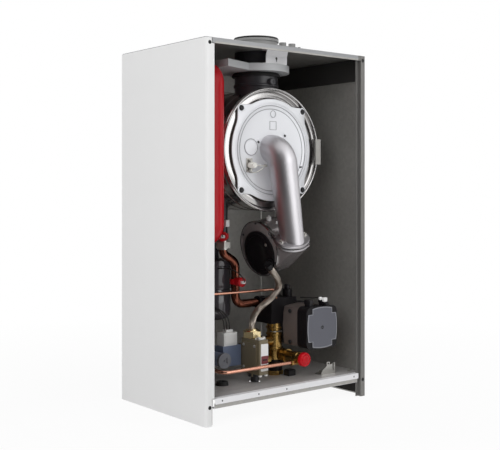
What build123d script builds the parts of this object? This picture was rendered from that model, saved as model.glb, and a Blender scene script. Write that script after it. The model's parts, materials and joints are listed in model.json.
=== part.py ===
from build123d import *

import os
from math import cos, radians, sin

# Wall-hung condensing gas boiler, shown without its front cover and control box.
# Sizes are in millimetres. X runs to the right as seen from the front, Y runs into the boiler
# and Z runs up. The origin lies under the middle of the casing, level with its lower edges.

# Casing
CASE_WIDTH = 450.0
CASE_DEPTH = 315.0
HEADROOM = 215.0
SHEET = 1.2
CORNER_RADIUS = 7.0
FRONT_FLANGE = 16.0
HEM_DEPTH = 10.0
HEM_WIDTH = 7.5
REAR_FLANGE = 14.0
BEND = 1.6
TOP_LIP = 11.0
TRAY_HEIGHT = 52.0
TRAY_SKIRT = 14.0
RAIL_HEIGHT = 20.0
RAIL_STEP = 4.0
RAIL_HOLE_INSET = (41.5, 38.5)
RAIL_HOLE_MIDDLE = (-89.5, -13.5)
RAIL_HOLE_RADIUS = 1.8
BUMPER_RADIUS = 4.0
BUMPER_INSET = 10.5
RIB_INSET = 49.0
HANGER_SLOT_SPACING = 260.0
HANGER_SLOT_LENGTH = 30.0
HANGER_SLOT_WIDTH = 11.0
HANGER_DROP = 44.0
GROMMET = (-110.0, -60.0)

# Clearances
FIT = 0.3
SHAFT_FIT = 0.05
SEAT = 0.3
HOLE_GAP = 2.0

# Fan: its axis points right and a little up, and its outlet points up and forwards
FAN_HEIGHT = 340.3
FAN_TILT = 12.0
OUTLET_TILT = 30.0
FAN_HALF_WIDTH = 26.0
FAN_RADIUS = 61.0
FAN_WALL = 3.5
FAN_FLANGE = 5.0
FAN_RIM_RADIUS = 62.5
FAN_RIM_HEIGHT = 2.5
FAN_INLET_RADIUS = 27.0
IMPELLER_RADIUS = 46.0
IMPELLER_BLADES = 12
FAN_SHAFT_RADIUS = 4.0
FAN_MOTOR_RADIUS = 38.0
FAN_MOTOR_LENGTH = 40.0
MIXER_RADIUS = 49.0
MIXER_LENGTH = 3.5
MIXER_DROP = 9.0

# Heat exchanger, its burner door and the pipe that feeds it
EXCHANGER_RISE = 210.7
EXCHANGER_RADIUS = 131.0
EXCHANGER_WALL = 2.0
EXCHANGER_FRONT = -74.5
EXCHANGER_BACK = 128.0
RING_OUTER = 134.0
RING_INNER = 129.0
RING_FRONT = -97.5
DOOR_RADIUS = 111.0
DOOR_EAR = 93.0
DOOR_EAR_RADIUS = 9.0
DOOR_SCREW_OFFSET = 86.5
DOOR_SEAT = 6.0
DOOR_PLATE = 13.0
DOOR_DISH = 4.0
DOOR_DISH_RADIUS = 97.0
DOOR_MOUTH = 27.0
SHELL_MOUTH = 92.0
GASKET = 1.5
ELECTRODE_X = -62.0
BURNER_RADIUS = 35.0
BURNER_LENGTH = 150.0
COIL_INNER = 60.0
COIL_OUTER = 118.0
COIL_TURNS = 4
COIL_START = -66.0
COIL_SIDES = 24
PIPE_TOP_RADIUS = 31.0
PIPE_FOOT_RADIUS = 25.5
PIPE_BEND = 33.0
PIPE_WALL = 3.0
PIPE_FLANGE = 6.0
PIPE_FLANGE_RADIUS = 30.5
PIPE_BOLT_OFFSET = 34.0

# Flue
FLUE_Y = -39.5
FLUE_OUTLET_RADIUS = 47.5
FLUE_INNER_RADIUS = 30.2
FLUE_WALL = 3.0
COLLAR_RADIUS = 47.5
SEAL_RADIUS = 49.6
COLLAR_HEIGHT = 32.0
ADAPTER_DEPTH = 26.0
SHELF_RADIUS = 73.0
SHELF_DROP = 30.5
SHELF_THICKNESS = 15.0
TEST_PLUG_X = (78.0, 106.0)
TEST_PLUG_RADIUS = 8.0

# Expansion vessel
VESSEL_GAP = 1.5
VESSEL_Y = (-118.0, 90.0)
VESSEL_LENGTH = 380.0
VESSEL_DROP = 36.0
VESSEL_CORNER = 45.0
VESSEL_EDGE = 30.0

# Gas valve
VALVE_X = (-43.0, -17.0)
VALVE_Y = (-102.5, -40.0)
VALVE_Z = (70.0, 144.0)
NUT_CENTRE = (-30.0, -61.5)
NUT_FLATS = 36.0
NUT_HEIGHT = 20.0
HOSE_RADIUS = 5.8
GAS_STUB_RADIUS = 10.5
REGULATOR = (-105.0, 103.0)
REGULATOR_RADIUS = 16.5

# Pump
PUMP_X = 107.0
PUMP_Z = 163.0
PLATE_FRONT = -139.5
PLATE_THICKNESS = 2.0
PLATE_NOTCH = 15.0
PUMP_BOX_DEPTH = 30.0
STATOR_DEPTH = 47.0
STATOR_SIZE = 94.0
VOLUTE_DEPTH = 46.0
VOLUTE_LEFT = 27.0
ROTOR_RADIUS = 22.0
PUMP_SHAFT_RADIUS = 4.0
VENT_SCREW_RADIUS = 4.0

# Water side
MANIFOLD = (52.0, -41.0)
MANIFOLD_RADIUS = 17.0
MANIFOLD_TOP = 168.0
RELIEF_X = 58.0
RELIEF_Y = -117.5
RELIEF_Z = 97.0
RELIEF_STEM_RADIUS = 3.0
RELIEF_LIFT = 1.5
KNOB_RADIUS = 15.5
KNOB_DEPTH = 12.0
KNOB_FRONT = -139.5
PIPE_SIDES = 12
MAIN_PIPE_RADIUS = 9.5
FEED_PIPE_RADIUS = 3.0
FEED_LEVEL = 244.0
DISCHARGE_RADIUS = 4.0
DISCHARGE_INSET = 73.0
DISCHARGE_Y = -40.0
STUB_BOTTOM = 12.0
WATER_STUB_RADIUS = 13.2
FLOW_STUB = (-60.0, 85.0)
RETURN_X = -75.0
RETURN_Y = -17.5
RETURN_LEVEL = 213.0
BLOCK_TOP = 224.0
DRAIN = (-30.0, 42.5)
DRAIN_RADIUS = 9.0
TRAP_CENTRE = (-58.0, 35.0)
TRAP_RADIUS = 36.0
CONDENSATE_STUB = (-104.0, 70.0)
CONDENSATE_RADIUS = 10.7
VENT_CENTRE = (93.0, -37.5)

# Values that follow from the sizes above. The fan hangs under the heat exchanger, and the casing
# is as high as the works in it need.
EXCHANGER_Z = FAN_HEIGHT + EXCHANGER_RISE
CASE_HEIGHT = EXCHANGER_Z + HEADROOM
FRONT_Y = -CASE_DEPTH / 2
BACK_Y = CASE_DEPTH / 2
SIDE_X = CASE_WIDTH / 2
INNER_X = SIDE_X - SHEET
CEILING = CASE_HEIGHT - SHEET
PANEL_FRONT = BACK_Y - 2 * SHEET
RAIL_TOP = TRAY_HEIGHT + SHEET
STUB_TOP = TRAY_HEIGHT - SHEET - 1.0
HANGER_HEIGHT = CASE_HEIGHT - HANGER_DROP
RAIL_HOLE_X = (RAIL_HOLE_INSET[0] - SIDE_X, *RAIL_HOLE_MIDDLE, SIDE_X - RAIL_HOLE_INSET[1])
RIB_X = SIDE_X - RIB_INSET
DISCHARGE_STUB = (DISCHARGE_INSET - SIDE_X, DISCHARGE_Y)
SHELF_TOP = CASE_HEIGHT - SHELF_DROP
SHELF_BOTTOM = SHELF_TOP - SHELF_THICKNESS
DOOR_BACK = EXCHANGER_FRONT - GASKET
DOOR_FRONT = DOOR_BACK - DOOR_SEAT - DOOR_PLATE
DOOR_FACE = DOOR_FRONT + DOOR_DISH
COIL_LENGTH = EXCHANGER_BACK - EXCHANGER_WALL - COIL_START
FAN_CENTRE = (32.0, -43.0, FAN_HEIGHT)
PIPE_FOOT = (28.9, -127.5, FAN_HEIGHT + 15.0)
PIPE_CORNER = (-1.0, -124.0, EXCHANGER_Z + 2.0)
ELECTRODE_Z = EXCHANGER_Z - 34.0
ELECTRODE_TIP = (-34.0, -112.0, ELECTRODE_Z - 1.0)
PIN_START = (ELECTRODE_X + 5.7, -107.5, ELECTRODE_Z)
VESSEL_X = (VESSEL_GAP - SIDE_X, -RING_OUTER)
VESSEL_Z = (CASE_HEIGHT - VESSEL_DROP - VESSEL_LENGTH, CASE_HEIGHT - VESSEL_DROP)
VESSEL_FITTING = ((VESSEL_X[0] + VESSEL_X[1]) / 2, -57.5)
GAS_X = (VALVE_X[0] + VALVE_X[1]) / 2
GAS_Y = (VALVE_Y[0] + VALVE_Y[1]) / 2
HOSE_START = FAN_HEIGHT - 44.3
HOSE_TURN = VALVE_Z[1] + 82.0
HOSE_POINTS = (
    (-6.5, -94.5, HOSE_START),
    (14.0, -93.5, HOSE_START - 24.0),
    (27.0, -91.0, (HOSE_START - 22.0 + HOSE_TURN) / 2),
    (15.0, -85.0, HOSE_TURN),
    (-14.0, -75.0, HOSE_TURN - 18.0),
    (NUT_CENTRE[0] + 1.0, NUT_CENTRE[1] - 1.5, HOSE_TURN - 30.0),
    (*NUT_CENTRE, VALVE_Z[1] + 34.0),
    (*NUT_CENTRE, VALVE_Z[1] + 16.0),
)


def box(x, y, z):
    """Block between the limits given for each axis."""
    size = (x[1] - x[0], y[1] - y[0], z[1] - z[0])
    centre = ((x[0] + x[1]) / 2, (y[0] + y[1]) / 2, (z[0] + z[1]) / 2)
    return Pos(*centre) * Box(*size)


def rod(start, end, radius):
    """Round bar from one point to another."""
    start = Vector(*start)
    way = Vector(*end) - start
    return Solid.extrude((Plane(origin=start, z_dir=way) * Circle(radius)).face(), way)


def pipe(start, end, outer, inner):
    """Straight tube from one point to another."""
    return rod(start, end, outer) - rod(start, end, inner)


def prism(start, end, radius, sides):
    """Straight bar of regular section from one point to another, with its corners at the radius."""
    way = Vector(*end) - Vector(*start)
    return Solid.extrude((Plane(origin=start, z_dir=way) * RegularPolygon(radius, sides)).face(), way)


def bent_tube(points, radii, radius, sides):
    """Tube along straight runs joined by tangent arcs, its round section drawn with flat sides."""
    path = FilletPolyline(*points, radius=radii)
    section = Plane(origin=path @ 0, z_dir=path % 0) * RegularPolygon(radius, sides)
    return sweep(section, path=path)


def exchanger_form(radius=EXCHANGER_RADIUS):
    """Solid drum of the heat exchanger, which trims what meets its round wall."""
    return rod((0, EXCHANGER_FRONT, EXCHANGER_Z), (0, EXCHANGER_BACK, EXCHANGER_Z), radius)


def hexagon(across_flats):
    """Hexagon with the given width across its flats."""
    return RegularPolygon(across_flats / 2, 6, major_radius=False)


def folded(points, plane, length, radii=None):
    """Folded sheet whose mid-line follows the points of a plane, drawn out along its normal."""
    line = FilletPolyline(*points, radius=radii) if radii else Polyline(*points)
    return extrude(plane * trace(line, SHEET), length)


def spun(points, axis=Axis.Z):
    """Body turned about an axis from a profile of radius and height."""
    return revolve(Plane.XZ * make_face(Polyline(*points, close=True)), axis)


def facing(y, x=0.0, z=0.0):
    """Plane at depth y whose normal points to the front of the boiler."""
    return Plane(origin=(x, y, z), x_dir=(1, 0, 0), z_dir=(0, -1, 0))


def side_panel(side):
    """Side panel folded from one sheet, with its front flange, hem and rear flange."""
    middle = SIDE_X - SHEET / 2
    inner = SIDE_X - FRONT_FLANGE
    points = (
        (side * (SIDE_X - REAR_FLANGE), BACK_Y - SHEET / 2),
        (side * middle, BACK_Y - SHEET / 2),
        (side * middle, FRONT_Y + SHEET / 2),
        (side * inner, FRONT_Y + SHEET / 2),
        (side * inner, FRONT_Y + HEM_DEPTH),
        (side * (inner - HEM_WIDTH), FRONT_Y + HEM_DEPTH),
    )
    radii = (BEND, CORNER_RADIUS - SHEET / 2, BEND, BEND)
    panel = folded(points, Plane.XY, CEILING, radii)
    for height in bumper_heights():
        panel -= rod((side * (SIDE_X - BUMPER_INSET), FRONT_Y - 1, height),
                     (side * (SIDE_X - BUMPER_INSET), FRONT_Y + SHEET + 1, height), BUMPER_RADIUS)
    return panel


def bumper_heights():
    """Heights of the lower and the upper cover bumpers."""
    return (TRAY_HEIGHT - 14.5, CASE_HEIGHT - 10.5)


def casing():
    """Sheet-metal casing and the small pieces fastened to it."""
    parts = {
        "left_side_panel": side_panel(-1),
        "right_side_panel": side_panel(1),
    }

    sheet = extrude(RectangleRounded(CASE_WIDTH, CASE_DEPTH, CORNER_RADIUS), SHEET)
    top = Pos(0, 0, CEILING) * sheet
    lip_half = SIDE_X - FRONT_FLANGE - SHEET
    top += box((-lip_half, lip_half), (FRONT_Y, FRONT_Y + SHEET), (CASE_HEIGHT - TOP_LIP, CEILING))
    top -= rod((0, FLUE_Y, CEILING - 1), (0, FLUE_Y, CASE_HEIGHT + 1), FLUE_OUTLET_RADIUS - FLUE_WALL)
    parts["top_panel"] = top

    panel_half = INNER_X - BEND
    rail_half = SIDE_X - FRONT_FLANGE - HEM_WIDTH - SHEET
    panel = box((-panel_half, panel_half), (PANEL_FRONT, BACK_Y - SHEET), (TRAY_HEIGHT, CEILING))
    rail = folded(
        ((PANEL_FRONT - SHEET / 2, HANGER_HEIGHT - 34), (PANEL_FRONT - SHEET / 2, HANGER_HEIGHT - 22),
         (PANEL_FRONT - 12, HANGER_HEIGHT - 22), (PANEL_FRONT - 12, HANGER_HEIGHT + 22),
         (PANEL_FRONT - SHEET / 2, HANGER_HEIGHT + 22), (PANEL_FRONT - SHEET / 2, HANGER_HEIGHT + 34)),
        Plane.YZ.offset(-panel_half), 2 * panel_half)
    slot = SlotOverall(HANGER_SLOT_LENGTH, HANGER_SLOT_WIDTH)
    for side in (-1, 1):
        plane = facing(BACK_Y, side * HANGER_SLOT_SPACING / 2, HANGER_HEIGHT)
        panel -= extrude(plane * slot, 4 * SHEET, both=True)
        rib = prism((side * RIB_X, PANEL_FRONT, TRAY_HEIGHT + 30), (side * RIB_X, PANEL_FRONT, HANGER_HEIGHT - 82), 4.0, 8)
        panel += rib & box((-SIDE_X, SIDE_X), (0, PANEL_FRONT + SHEET), (0, CASE_HEIGHT))
    parts["back_panel"] = Compound(children=[*panel.solids(), *rail.solids()])

    tray_front = FRONT_Y + HEM_DEPTH + SHEET
    tray_back = PANEL_FRONT - BEND
    tray = box((-INNER_X, INNER_X), (tray_front, tray_back), (TRAY_HEIGHT - SHEET, TRAY_HEIGHT))
    for side in (-1, 1):
        tray += box(sorted((side * INNER_X, side * (INNER_X - SHEET))), (tray_front, tray_back),
                    (TRAY_HEIGHT - TRAY_SKIRT, TRAY_HEIGHT))
    tray += box((-panel_half, panel_half), (tray_back - 1, PANEL_FRONT), (TRAY_HEIGHT - SHEET, TRAY_HEIGHT))
    tray += box((-rail_half, rail_half), (FRONT_Y + RAIL_STEP + 2 * SHEET, tray_front + 1),
                (TRAY_HEIGHT - SHEET, TRAY_HEIGHT))
    for (x, y), radius in tray_holes():
        tray -= rod((x, y, TRAY_HEIGHT - 5), (x, y, TRAY_HEIGHT + 5), radius)
    parts["bottom_tray"] = tray

    face = FRONT_Y + SHEET / 2
    front_rail = folded(
        ((FRONT_Y + 12, RAIL_TOP - SHEET / 2), (face, RAIL_TOP - SHEET / 2), (face, RAIL_TOP - 11),
         (face + RAIL_STEP, RAIL_TOP - 11), (face + RAIL_STEP, RAIL_TOP - RAIL_HEIGHT),
         (FRONT_Y + 16, RAIL_TOP - RAIL_HEIGHT)),
        Plane.YZ.offset(-rail_half), 2 * rail_half)
    for x in RAIL_HOLE_X:
        front_rail -= rod((x, FRONT_Y - 1, RAIL_TOP - 6), (x, FRONT_Y + 3, RAIL_TOP - 6), RAIL_HOLE_RADIUS)
    parts["front_rail"] = front_rail

    latch_y = FLUE_Y - SHELF_RADIUS + 4
    latch = folded(((latch_y + 14, CEILING - SHEET / 2), (latch_y - 4, CEILING - SHEET / 2),
                    (latch_y, CASE_HEIGHT - 14), (latch_y, SHELF_TOP + SHEET / 2), (latch_y + 12, SHELF_TOP + SHEET / 2)),
                   Plane.YZ.offset(-29.5), 59.0)
    keyhole = CASE_HEIGHT - 19
    latch -= prism((0, latch_y - 4, keyhole), (0, latch_y + 4, keyhole), 3.2, 8)
    latch -= box((-1.4, 1.4), (latch_y - 4, latch_y + 4), (keyhole - 7, keyhole))
    parts["latch_bracket"] = latch

    clips = []
    for side in (-1, 1):
        for height in bumper_heights():
            x = side * (SIDE_X - BUMPER_INSET)
            clips += prism((x, FRONT_Y, height), (x, FRONT_Y + 5, height), BUMPER_RADIUS, 12).solids()
        corner = side * (SIDE_X - FRONT_FLANGE - HEM_WIDTH / 2)
        width = (corner - 5.0, corner + 5.0)
        depth = (FRONT_Y + HEM_DEPTH + SHEET / 2, FRONT_Y + HEM_DEPTH + 7)
        clips += box(width, depth, (RAIL_TOP - 17, RAIL_TOP - 3.2)).solids()
        clips += box(width, depth, (CEILING - 13, CEILING)).solids()
    parts["corner_clips"] = Compound(children=clips)

    foot = box((126, 168), (-116, -94), (TRAY_HEIGHT, TRAY_HEIGHT + SHEET))
    outline = make_face(Polyline((126, 0), (168, 0), (168, 24), (163.5, 24), (163.5, 8), (160, 8), (160, 22),
                                 (151, 20), (151, 27), (142, 27), (142, 18), (129, 10), (126, 6), close=True))
    eye = TRAY_HEIGHT + 23
    upright = extrude(facing(-115, 0, TRAY_HEIGHT) * outline, SHEET)
    upright -= prism((146.5, -120, eye), (146.5, -110, eye), 2.4, 8)
    parts["pipe_bracket"] = foot + upright

    grommet_x, grommet_y = GROMMET
    parts["cable_grommet"] = Pos(grommet_x, grommet_y, 0) * spun(
        ((5, TRAY_HEIGHT - 4), (8, TRAY_HEIGHT - 4), (8, TRAY_HEIGHT), (14, TRAY_HEIGHT), (12, TRAY_HEIGHT + 8),
         (5, TRAY_HEIGHT + 8)))
    parts["foot_block"] = chamfer(
        box((60, 79), (-82, -64), (TRAY_HEIGHT, TRAY_HEIGHT + 14)).edges().group_by(Axis.Z)[-1], 2.0)
    return parts


def tray_holes():
    """Holes of the tray: the centre and the radius of each."""
    return (
        ((GAS_X, GAS_Y), GAS_STUB_RADIUS + HOLE_GAP),
        (FLOW_STUB, WATER_STUB_RADIUS + HOLE_GAP),
        (MANIFOLD, WATER_STUB_RADIUS + HOLE_GAP),
        (CONDENSATE_STUB, CONDENSATE_RADIUS + HOLE_GAP),
        (DISCHARGE_STUB, DISCHARGE_RADIUS + HOLE_GAP),
        (GROMMET, 8.3),
    )


def exchanger():
    """Round stainless heat exchanger with its ring, coil, burner and cast door."""
    parts = {}
    z = EXCHANGER_Z

    shell = rod((0, EXCHANGER_FRONT, z), (0, EXCHANGER_BACK, z), EXCHANGER_RADIUS)
    shell -= rod((0, EXCHANGER_FRONT + 3, z), (0, EXCHANGER_BACK - EXCHANGER_WALL, z),
                 EXCHANGER_RADIUS - EXCHANGER_WALL)
    shell -= rod((0, EXCHANGER_FRONT - 1, z), (0, EXCHANGER_FRONT + 4, z), SHELL_MOUTH)
    shell -= box((-30, 30), (FLUE_Y - 30, FLUE_Y + 30), (z + 100, z + 140))
    shell -= prism((*DRAIN, z - 140), (*DRAIN, z - 100), DRAIN_RADIUS - 2, 10)
    parts["exchanger_shell"] = shell

    wall = EXCHANGER_RADIUS + 1
    ring = spun(((RING_INNER, -EXCHANGER_FRONT), (wall, -EXCHANGER_FRONT), (wall, 86.5), (RING_OUTER, 89.0),
                 (wall, 91.5), (RING_OUTER, 94.5), (RING_OUTER - 1, -RING_FRONT), (RING_INNER, -RING_FRONT)))
    parts["exchanger_front_ring"] = Pos(0, 0, z) * Rot(90, 0, 0) * ring

    pitch = COIL_LENGTH / COIL_TURNS
    coil = extrude(facing(COIL_START + COIL_LENGTH, 0, z) * hollow_polygon(COIL_OUTER - 6, COIL_INNER), COIL_LENGTH)
    for turn in range(COIL_TURNS):
        start = COIL_START + turn * pitch
        coil += extrude(facing(start + 0.7 * pitch, 0, z) * hollow_polygon(COIL_OUTER, COIL_INNER), 0.7 * pitch)
    parts["exchanger_coil"] = coil

    outline = Circle(DOOR_RADIUS) + RectangleRounded(2 * DOOR_EAR, 2 * DOOR_EAR, DOOR_EAR_RADIUS)
    top = DOOR_FRONT
    door = extrude(facing(DOOR_BACK - DOOR_SEAT, 0, z) * outline, DOOR_PLATE)
    door += rod((0, DOOR_BACK, z), (0, DOOR_BACK - DOOR_SEAT, z), DOOR_RADIUS - 6)
    door -= rod((0, DOOR_FACE, z), (0, DOOR_FRONT - 1, z), DOOR_DISH_RADIUS)
    door -= rod((0, DOOR_FACE - 1, z), (0, DOOR_BACK + 1, z), DOOR_MOUTH)
    door += pipe((-57, DOOR_FACE, z + 5), (-57, DOOR_FACE - 1.5, z + 5), 17.5, 15.5)
    parts["burner_door"] = door

    foot, normal = pipe_flange_plane()
    flange_gasket = extrude(foot.offset(-GASKET) * (flange_outline() - Circle(PIPE_FOOT_RADIUS - PIPE_WALL)), GASKET)
    door_gasket = extrude(facing(EXCHANGER_FRONT, 0, z) * hollow_polygon(DOOR_RADIUS - 6, 96), GASKET)
    parts["gaskets"] = Compound(children=[*door_gasket.solids(), *flange_gasket.solids()])

    burner = pipe((0, DOOR_BACK, z), (0, DOOR_BACK + BURNER_LENGTH, z), BURNER_RADIUS, BURNER_RADIUS - 1.5)
    burner += rod((0, DOOR_BACK + BURNER_LENGTH - 1.5, z), (0, DOOR_BACK + BURNER_LENGTH, z), BURNER_RADIUS)
    burner += pipe((0, DOOR_BACK, z), (0, DOOR_BACK + 2, z), 46.0, BURNER_RADIUS - 1)
    parts["burner_tube"] = burner

    parts["mixture_pipe"] = mixture_pipe()

    screws = []
    for side_x in (-1, 1):
        for side_z in (-1, 1):
            x = side_x * DOOR_SCREW_OFFSET
            height = z + side_z * DOOR_SCREW_OFFSET
            screws += prism((x, top, height), (x, top - 4, height), 5.5, 6).solids()
    for side in (-1, 1):
        head = foot.offset(PIPE_FLANGE) * Pos(side * PIPE_BOLT_OFFSET, 0) * hexagon(9)
        screws += extrude(head, 4).solids()
    parts["exchanger_screws"] = Compound(children=screws)

    x = ELECTRODE_X
    plate = box((x - 8, x + 8), (DOOR_FACE - 2, DOOR_FACE), (ELECTRODE_Z - 15, ELECTRODE_Z + 15))
    for height in (ELECTRODE_Z - 10, ELECTRODE_Z + 10):
        plate += prism((x, DOOR_FACE - 2, height), (x, DOOR_FACE - 5, height), 3.2, 6)
    pin = prism(PIN_START, ELECTRODE_TIP, 1.5, 6)
    pin += Pos(*ELECTRODE_TIP) * Rot(90, 0, 0) * extrude(RegularPolygon(3.2, 8), 3, both=True)
    parts["ignition_electrode"] = Compound(children=[*plate.solids(), *pin.solids()])
    ceramic = rod((x, DOOR_FACE - 2, ELECTRODE_Z), (x, DOOR_FACE - 21, ELECTRODE_Z), 5.5)
    parts["electrode_insulator"] = ceramic

    clip = box((RING_OUTER - 10, RING_OUTER + 4), (RING_FRONT - 2, RING_FRONT), (z - 29, z + 27))
    clip += box((RING_OUTER + 2, RING_OUTER + 4), (RING_FRONT - 2, -84), (z - 29, z + 27))
    tab = box((RING_OUTER + 2, RING_OUTER + 18), (-86, -84), (z - 29, z + 27))
    for height in (z + 20, z - 22):
        tab -= prism((RING_OUTER + 13, -90, height), (RING_OUTER + 13, -80, height), 2.4, 8)
    brackets = [*(clip + tab).solids()]
    for side in (-1, 1):
        arm = box(sorted((side * 50, side * 70)), (EXCHANGER_BACK, PANEL_FRONT), (z - 60, z + 60))
        arm -= box(sorted((side * 50 + side * 3, side * 80)), (EXCHANGER_BACK + 3, PANEL_FRONT - 3), (z - 70, z + 70))
        brackets += arm.solids()
    parts["exchanger_brackets"] = Compound(children=brackets)
    return parts


def hollow_polygon(outer, inner):
    """Ring with flat sides, for round pieces that stay hidden."""
    return RegularPolygon(outer, COIL_SIDES) - RegularPolygon(inner, COIL_SIDES)


def pipe_flange_plane():
    """Plane of the oblique joint between the fan and the mixture pipe, and its normal."""
    tilt = radians(FAN_TILT)
    lean = radians(OUTLET_TILT)
    normal = Vector(-sin(tilt) * cos(lean), -sin(lean), cos(tilt) * cos(lean))
    along = Vector(cos(tilt), 0, sin(tilt))
    return Plane(origin=PIPE_FOOT, x_dir=along, z_dir=normal), normal


def flange_outline():
    """Oval flange with an ear at each side for its bolts."""
    edges = Circle(PIPE_FLANGE_RADIUS).edges()
    for side in (-1, 1):
        edges += (Pos(side * PIPE_BOLT_OFFSET, 0) * Circle(7.5)).edges()
    return make_hull(edges)


def mixture_pipe():
    """Cast pipe that leads gas and air from the fan up to the middle of the door."""
    foot, normal = pipe_flange_plane()
    corner = Vector(*PIPE_CORNER)
    start = Vector(corner.X, DOOR_FACE, corner.Z)
    end = corner + (Vector(*PIPE_FOOT) - corner) * 1.15
    end_radius = PIPE_TOP_RADIUS + (PIPE_FOOT_RADIUS - PIPE_TOP_RADIUS) * 1.15
    path = FilletPolyline(start, corner, end, radius=PIPE_BEND)
    bend = path.edges().sort_by(Axis.Z)[1]
    turned = Plane(origin=bend @ 1, z_dir=bend % 1)

    def run(inset):
        """Stub, bend and tapered run of the pipe, drawn in by the inset."""
        round_section = Circle(PIPE_TOP_RADIUS - inset)
        stub = extrude(facing(start.Y, start.X, start.Z) * round_section, start.Y - (bend @ 0).Y)
        elbow = sweep(Plane(origin=bend @ 0, z_dir=bend % 0) * round_section, path=bend)
        low = Plane(origin=end, z_dir=end - corner) * Circle(end_radius - inset)
        return stub + elbow + loft([turned * round_section, low])

    keep = extrude(foot * Rectangle(400, 400), 500)
    return (run(0) & keep) + extrude(foot * flange_outline(), PIPE_FLANGE) - run(PIPE_WALL)


def fan_frame():
    """Plane at the middle of the fan: x runs back, y runs up and z runs along the fan's axis."""
    tilt = radians(FAN_TILT)
    return Plane(origin=FAN_CENTRE, x_dir=(0, 1, 0), z_dir=(cos(tilt), 0, sin(tilt)))


def scroll(inset):
    """Face of the fan's scroll, which runs out towards the flange, drawn in by the inset."""
    offset_to_foot = Vector(*PIPE_FOOT) - Vector(*FAN_CENTRE)
    tilt = radians(FAN_TILT)
    lean = radians(OUTLET_TILT)
    foot_x = offset_to_foot.Y
    foot_y = offset_to_foot.Z * cos(tilt) - offset_to_foot.X * sin(tilt)
    half = PIPE_FOOT_RADIUS + 2.5 - inset
    drop = GASKET + (FAN_FLANGE if inset else 0.0)

    def below_joint(width, depth):
        """Rectangle that hangs down from the joint with the mixture pipe."""
        middle = drop + depth / 2
        place = Location((foot_x + middle * sin(lean), foot_y - middle * cos(lean)), OUTLET_TILT)
        return place * Rectangle(width, depth)

    round_part = Circle(FAN_RADIUS - inset)
    reach = make_hull(round_part.edges() + below_joint(2 * half, 4.0).edges())
    return (reach & below_joint(400, 400)) + round_part


def fan():
    """Combustion fan with its scroll, cover, rotor, motor and the black air and gas mixer."""
    parts = {}
    frame = fan_frame()
    foot, normal = pipe_flange_plane()
    half = FAN_HALF_WIDTH
    bore = PIPE_FOOT_RADIUS - PIPE_WALL

    volute = extrude(frame.offset(-half + FAN_WALL) * scroll(0), 2 * half - FAN_WALL)
    volute += extrude(foot.offset(-GASKET) * flange_outline(), -FAN_FLANGE)
    volute -= extrude(frame.offset(-half + FAN_WALL) * scroll(FAN_WALL), 2 * half - 2 * FAN_WALL)
    volute -= extrude(foot.offset(-GASKET) * Circle(bore), -FAN_FLANGE - 4)
    volute -= extrude(frame.offset(half - FAN_WALL - 1) * Circle(FAN_SHAFT_RADIUS + SHAFT_FIT), 2 * FAN_WALL + 4)
    parts["fan_volute"] = volute

    cover = extrude(frame.offset(-half) * scroll(0), FAN_WALL)
    cover += extrude(frame.offset(-half) * (Circle(FAN_RIM_RADIUS) - Circle(FAN_RIM_RADIUS - 3)), -FAN_RIM_HEIGHT)
    cover -= extrude(foot.offset(-GASKET + FIT) * Rectangle(100, 100), -FAN_FLANGE - 2 * FIT)
    cover -= extrude(frame.offset(-half - 1) * Circle(FAN_INLET_RADIUS), FAN_WALL + 2)
    parts["fan_cover"] = cover

    rotor = extrude(frame.offset(half - FAN_WALL - 4) * RegularPolygon(IMPELLER_RADIUS, 24), 2.0)
    blade = Pos(0, 33) * Rectangle(1.6, 24)
    for index in range(IMPELLER_BLADES):
        turned = Location((0, 0), 360.0 * index / IMPELLER_BLADES) * blade
        rotor += extrude(frame.offset(-half + FAN_WALL + 6) * turned, 2 * half - 2 * FAN_WALL - 9)
    eye = RegularPolygon(IMPELLER_RADIUS, 24) - RegularPolygon(26, 24)
    rotor += extrude(frame.offset(-half + FAN_WALL + 4) * eye, 2.0)
    rotor += extrude(frame.offset(half - FAN_WALL - 14) * Circle(FAN_SHAFT_RADIUS), FAN_WALL + 14 + 24)
    parts["fan_rotor"] = rotor

    motor = extrude(frame.offset(half) * Circle(FAN_MOTOR_RADIUS), FAN_MOTOR_LENGTH)
    motor = chamfer(motor.edges().sort_by(Axis.X)[-1], 5.0)
    motor -= extrude(frame.offset(half) * Circle(FAN_SHAFT_RADIUS + SHAFT_FIT), 25.0)
    for turn in range(3):
        lug = Location((0, 0), 120.0 * turn + 30) * Pos(0, FAN_MOTOR_RADIUS + 4) * Circle(7)
        motor += extrude(frame.offset(half) * lug, 8.0)
    parts["fan_motor"] = motor

    mouth = frame.offset(-half)
    mixer = extrude(mouth * Pos(0, -MIXER_DROP) * Circle(MIXER_RADIUS), -MIXER_LENGTH)
    mixer += extrude(mouth * (Circle(FAN_INLET_RADIUS - FIT) - Circle(FAN_INLET_RADIUS - 8)), FAN_WALL)
    first, second = Vector(*HOSE_POINTS[0]), Vector(*HOSE_POINTS[1])
    before = first - (second - first).normalized() * 9
    inlet = mouth.from_local_coords((-28, -28, 6))
    elbow = rod(inlet, before, 8.0) + rod(before, first, 8.0)
    elbow -= extrude(mouth * Circle(2 * MIXER_RADIUS), 20)
    mixer += elbow - rod(first, second, HOSE_RADIUS + 1)
    parts["air_gas_mixer"] = mixer
    return parts


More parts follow.
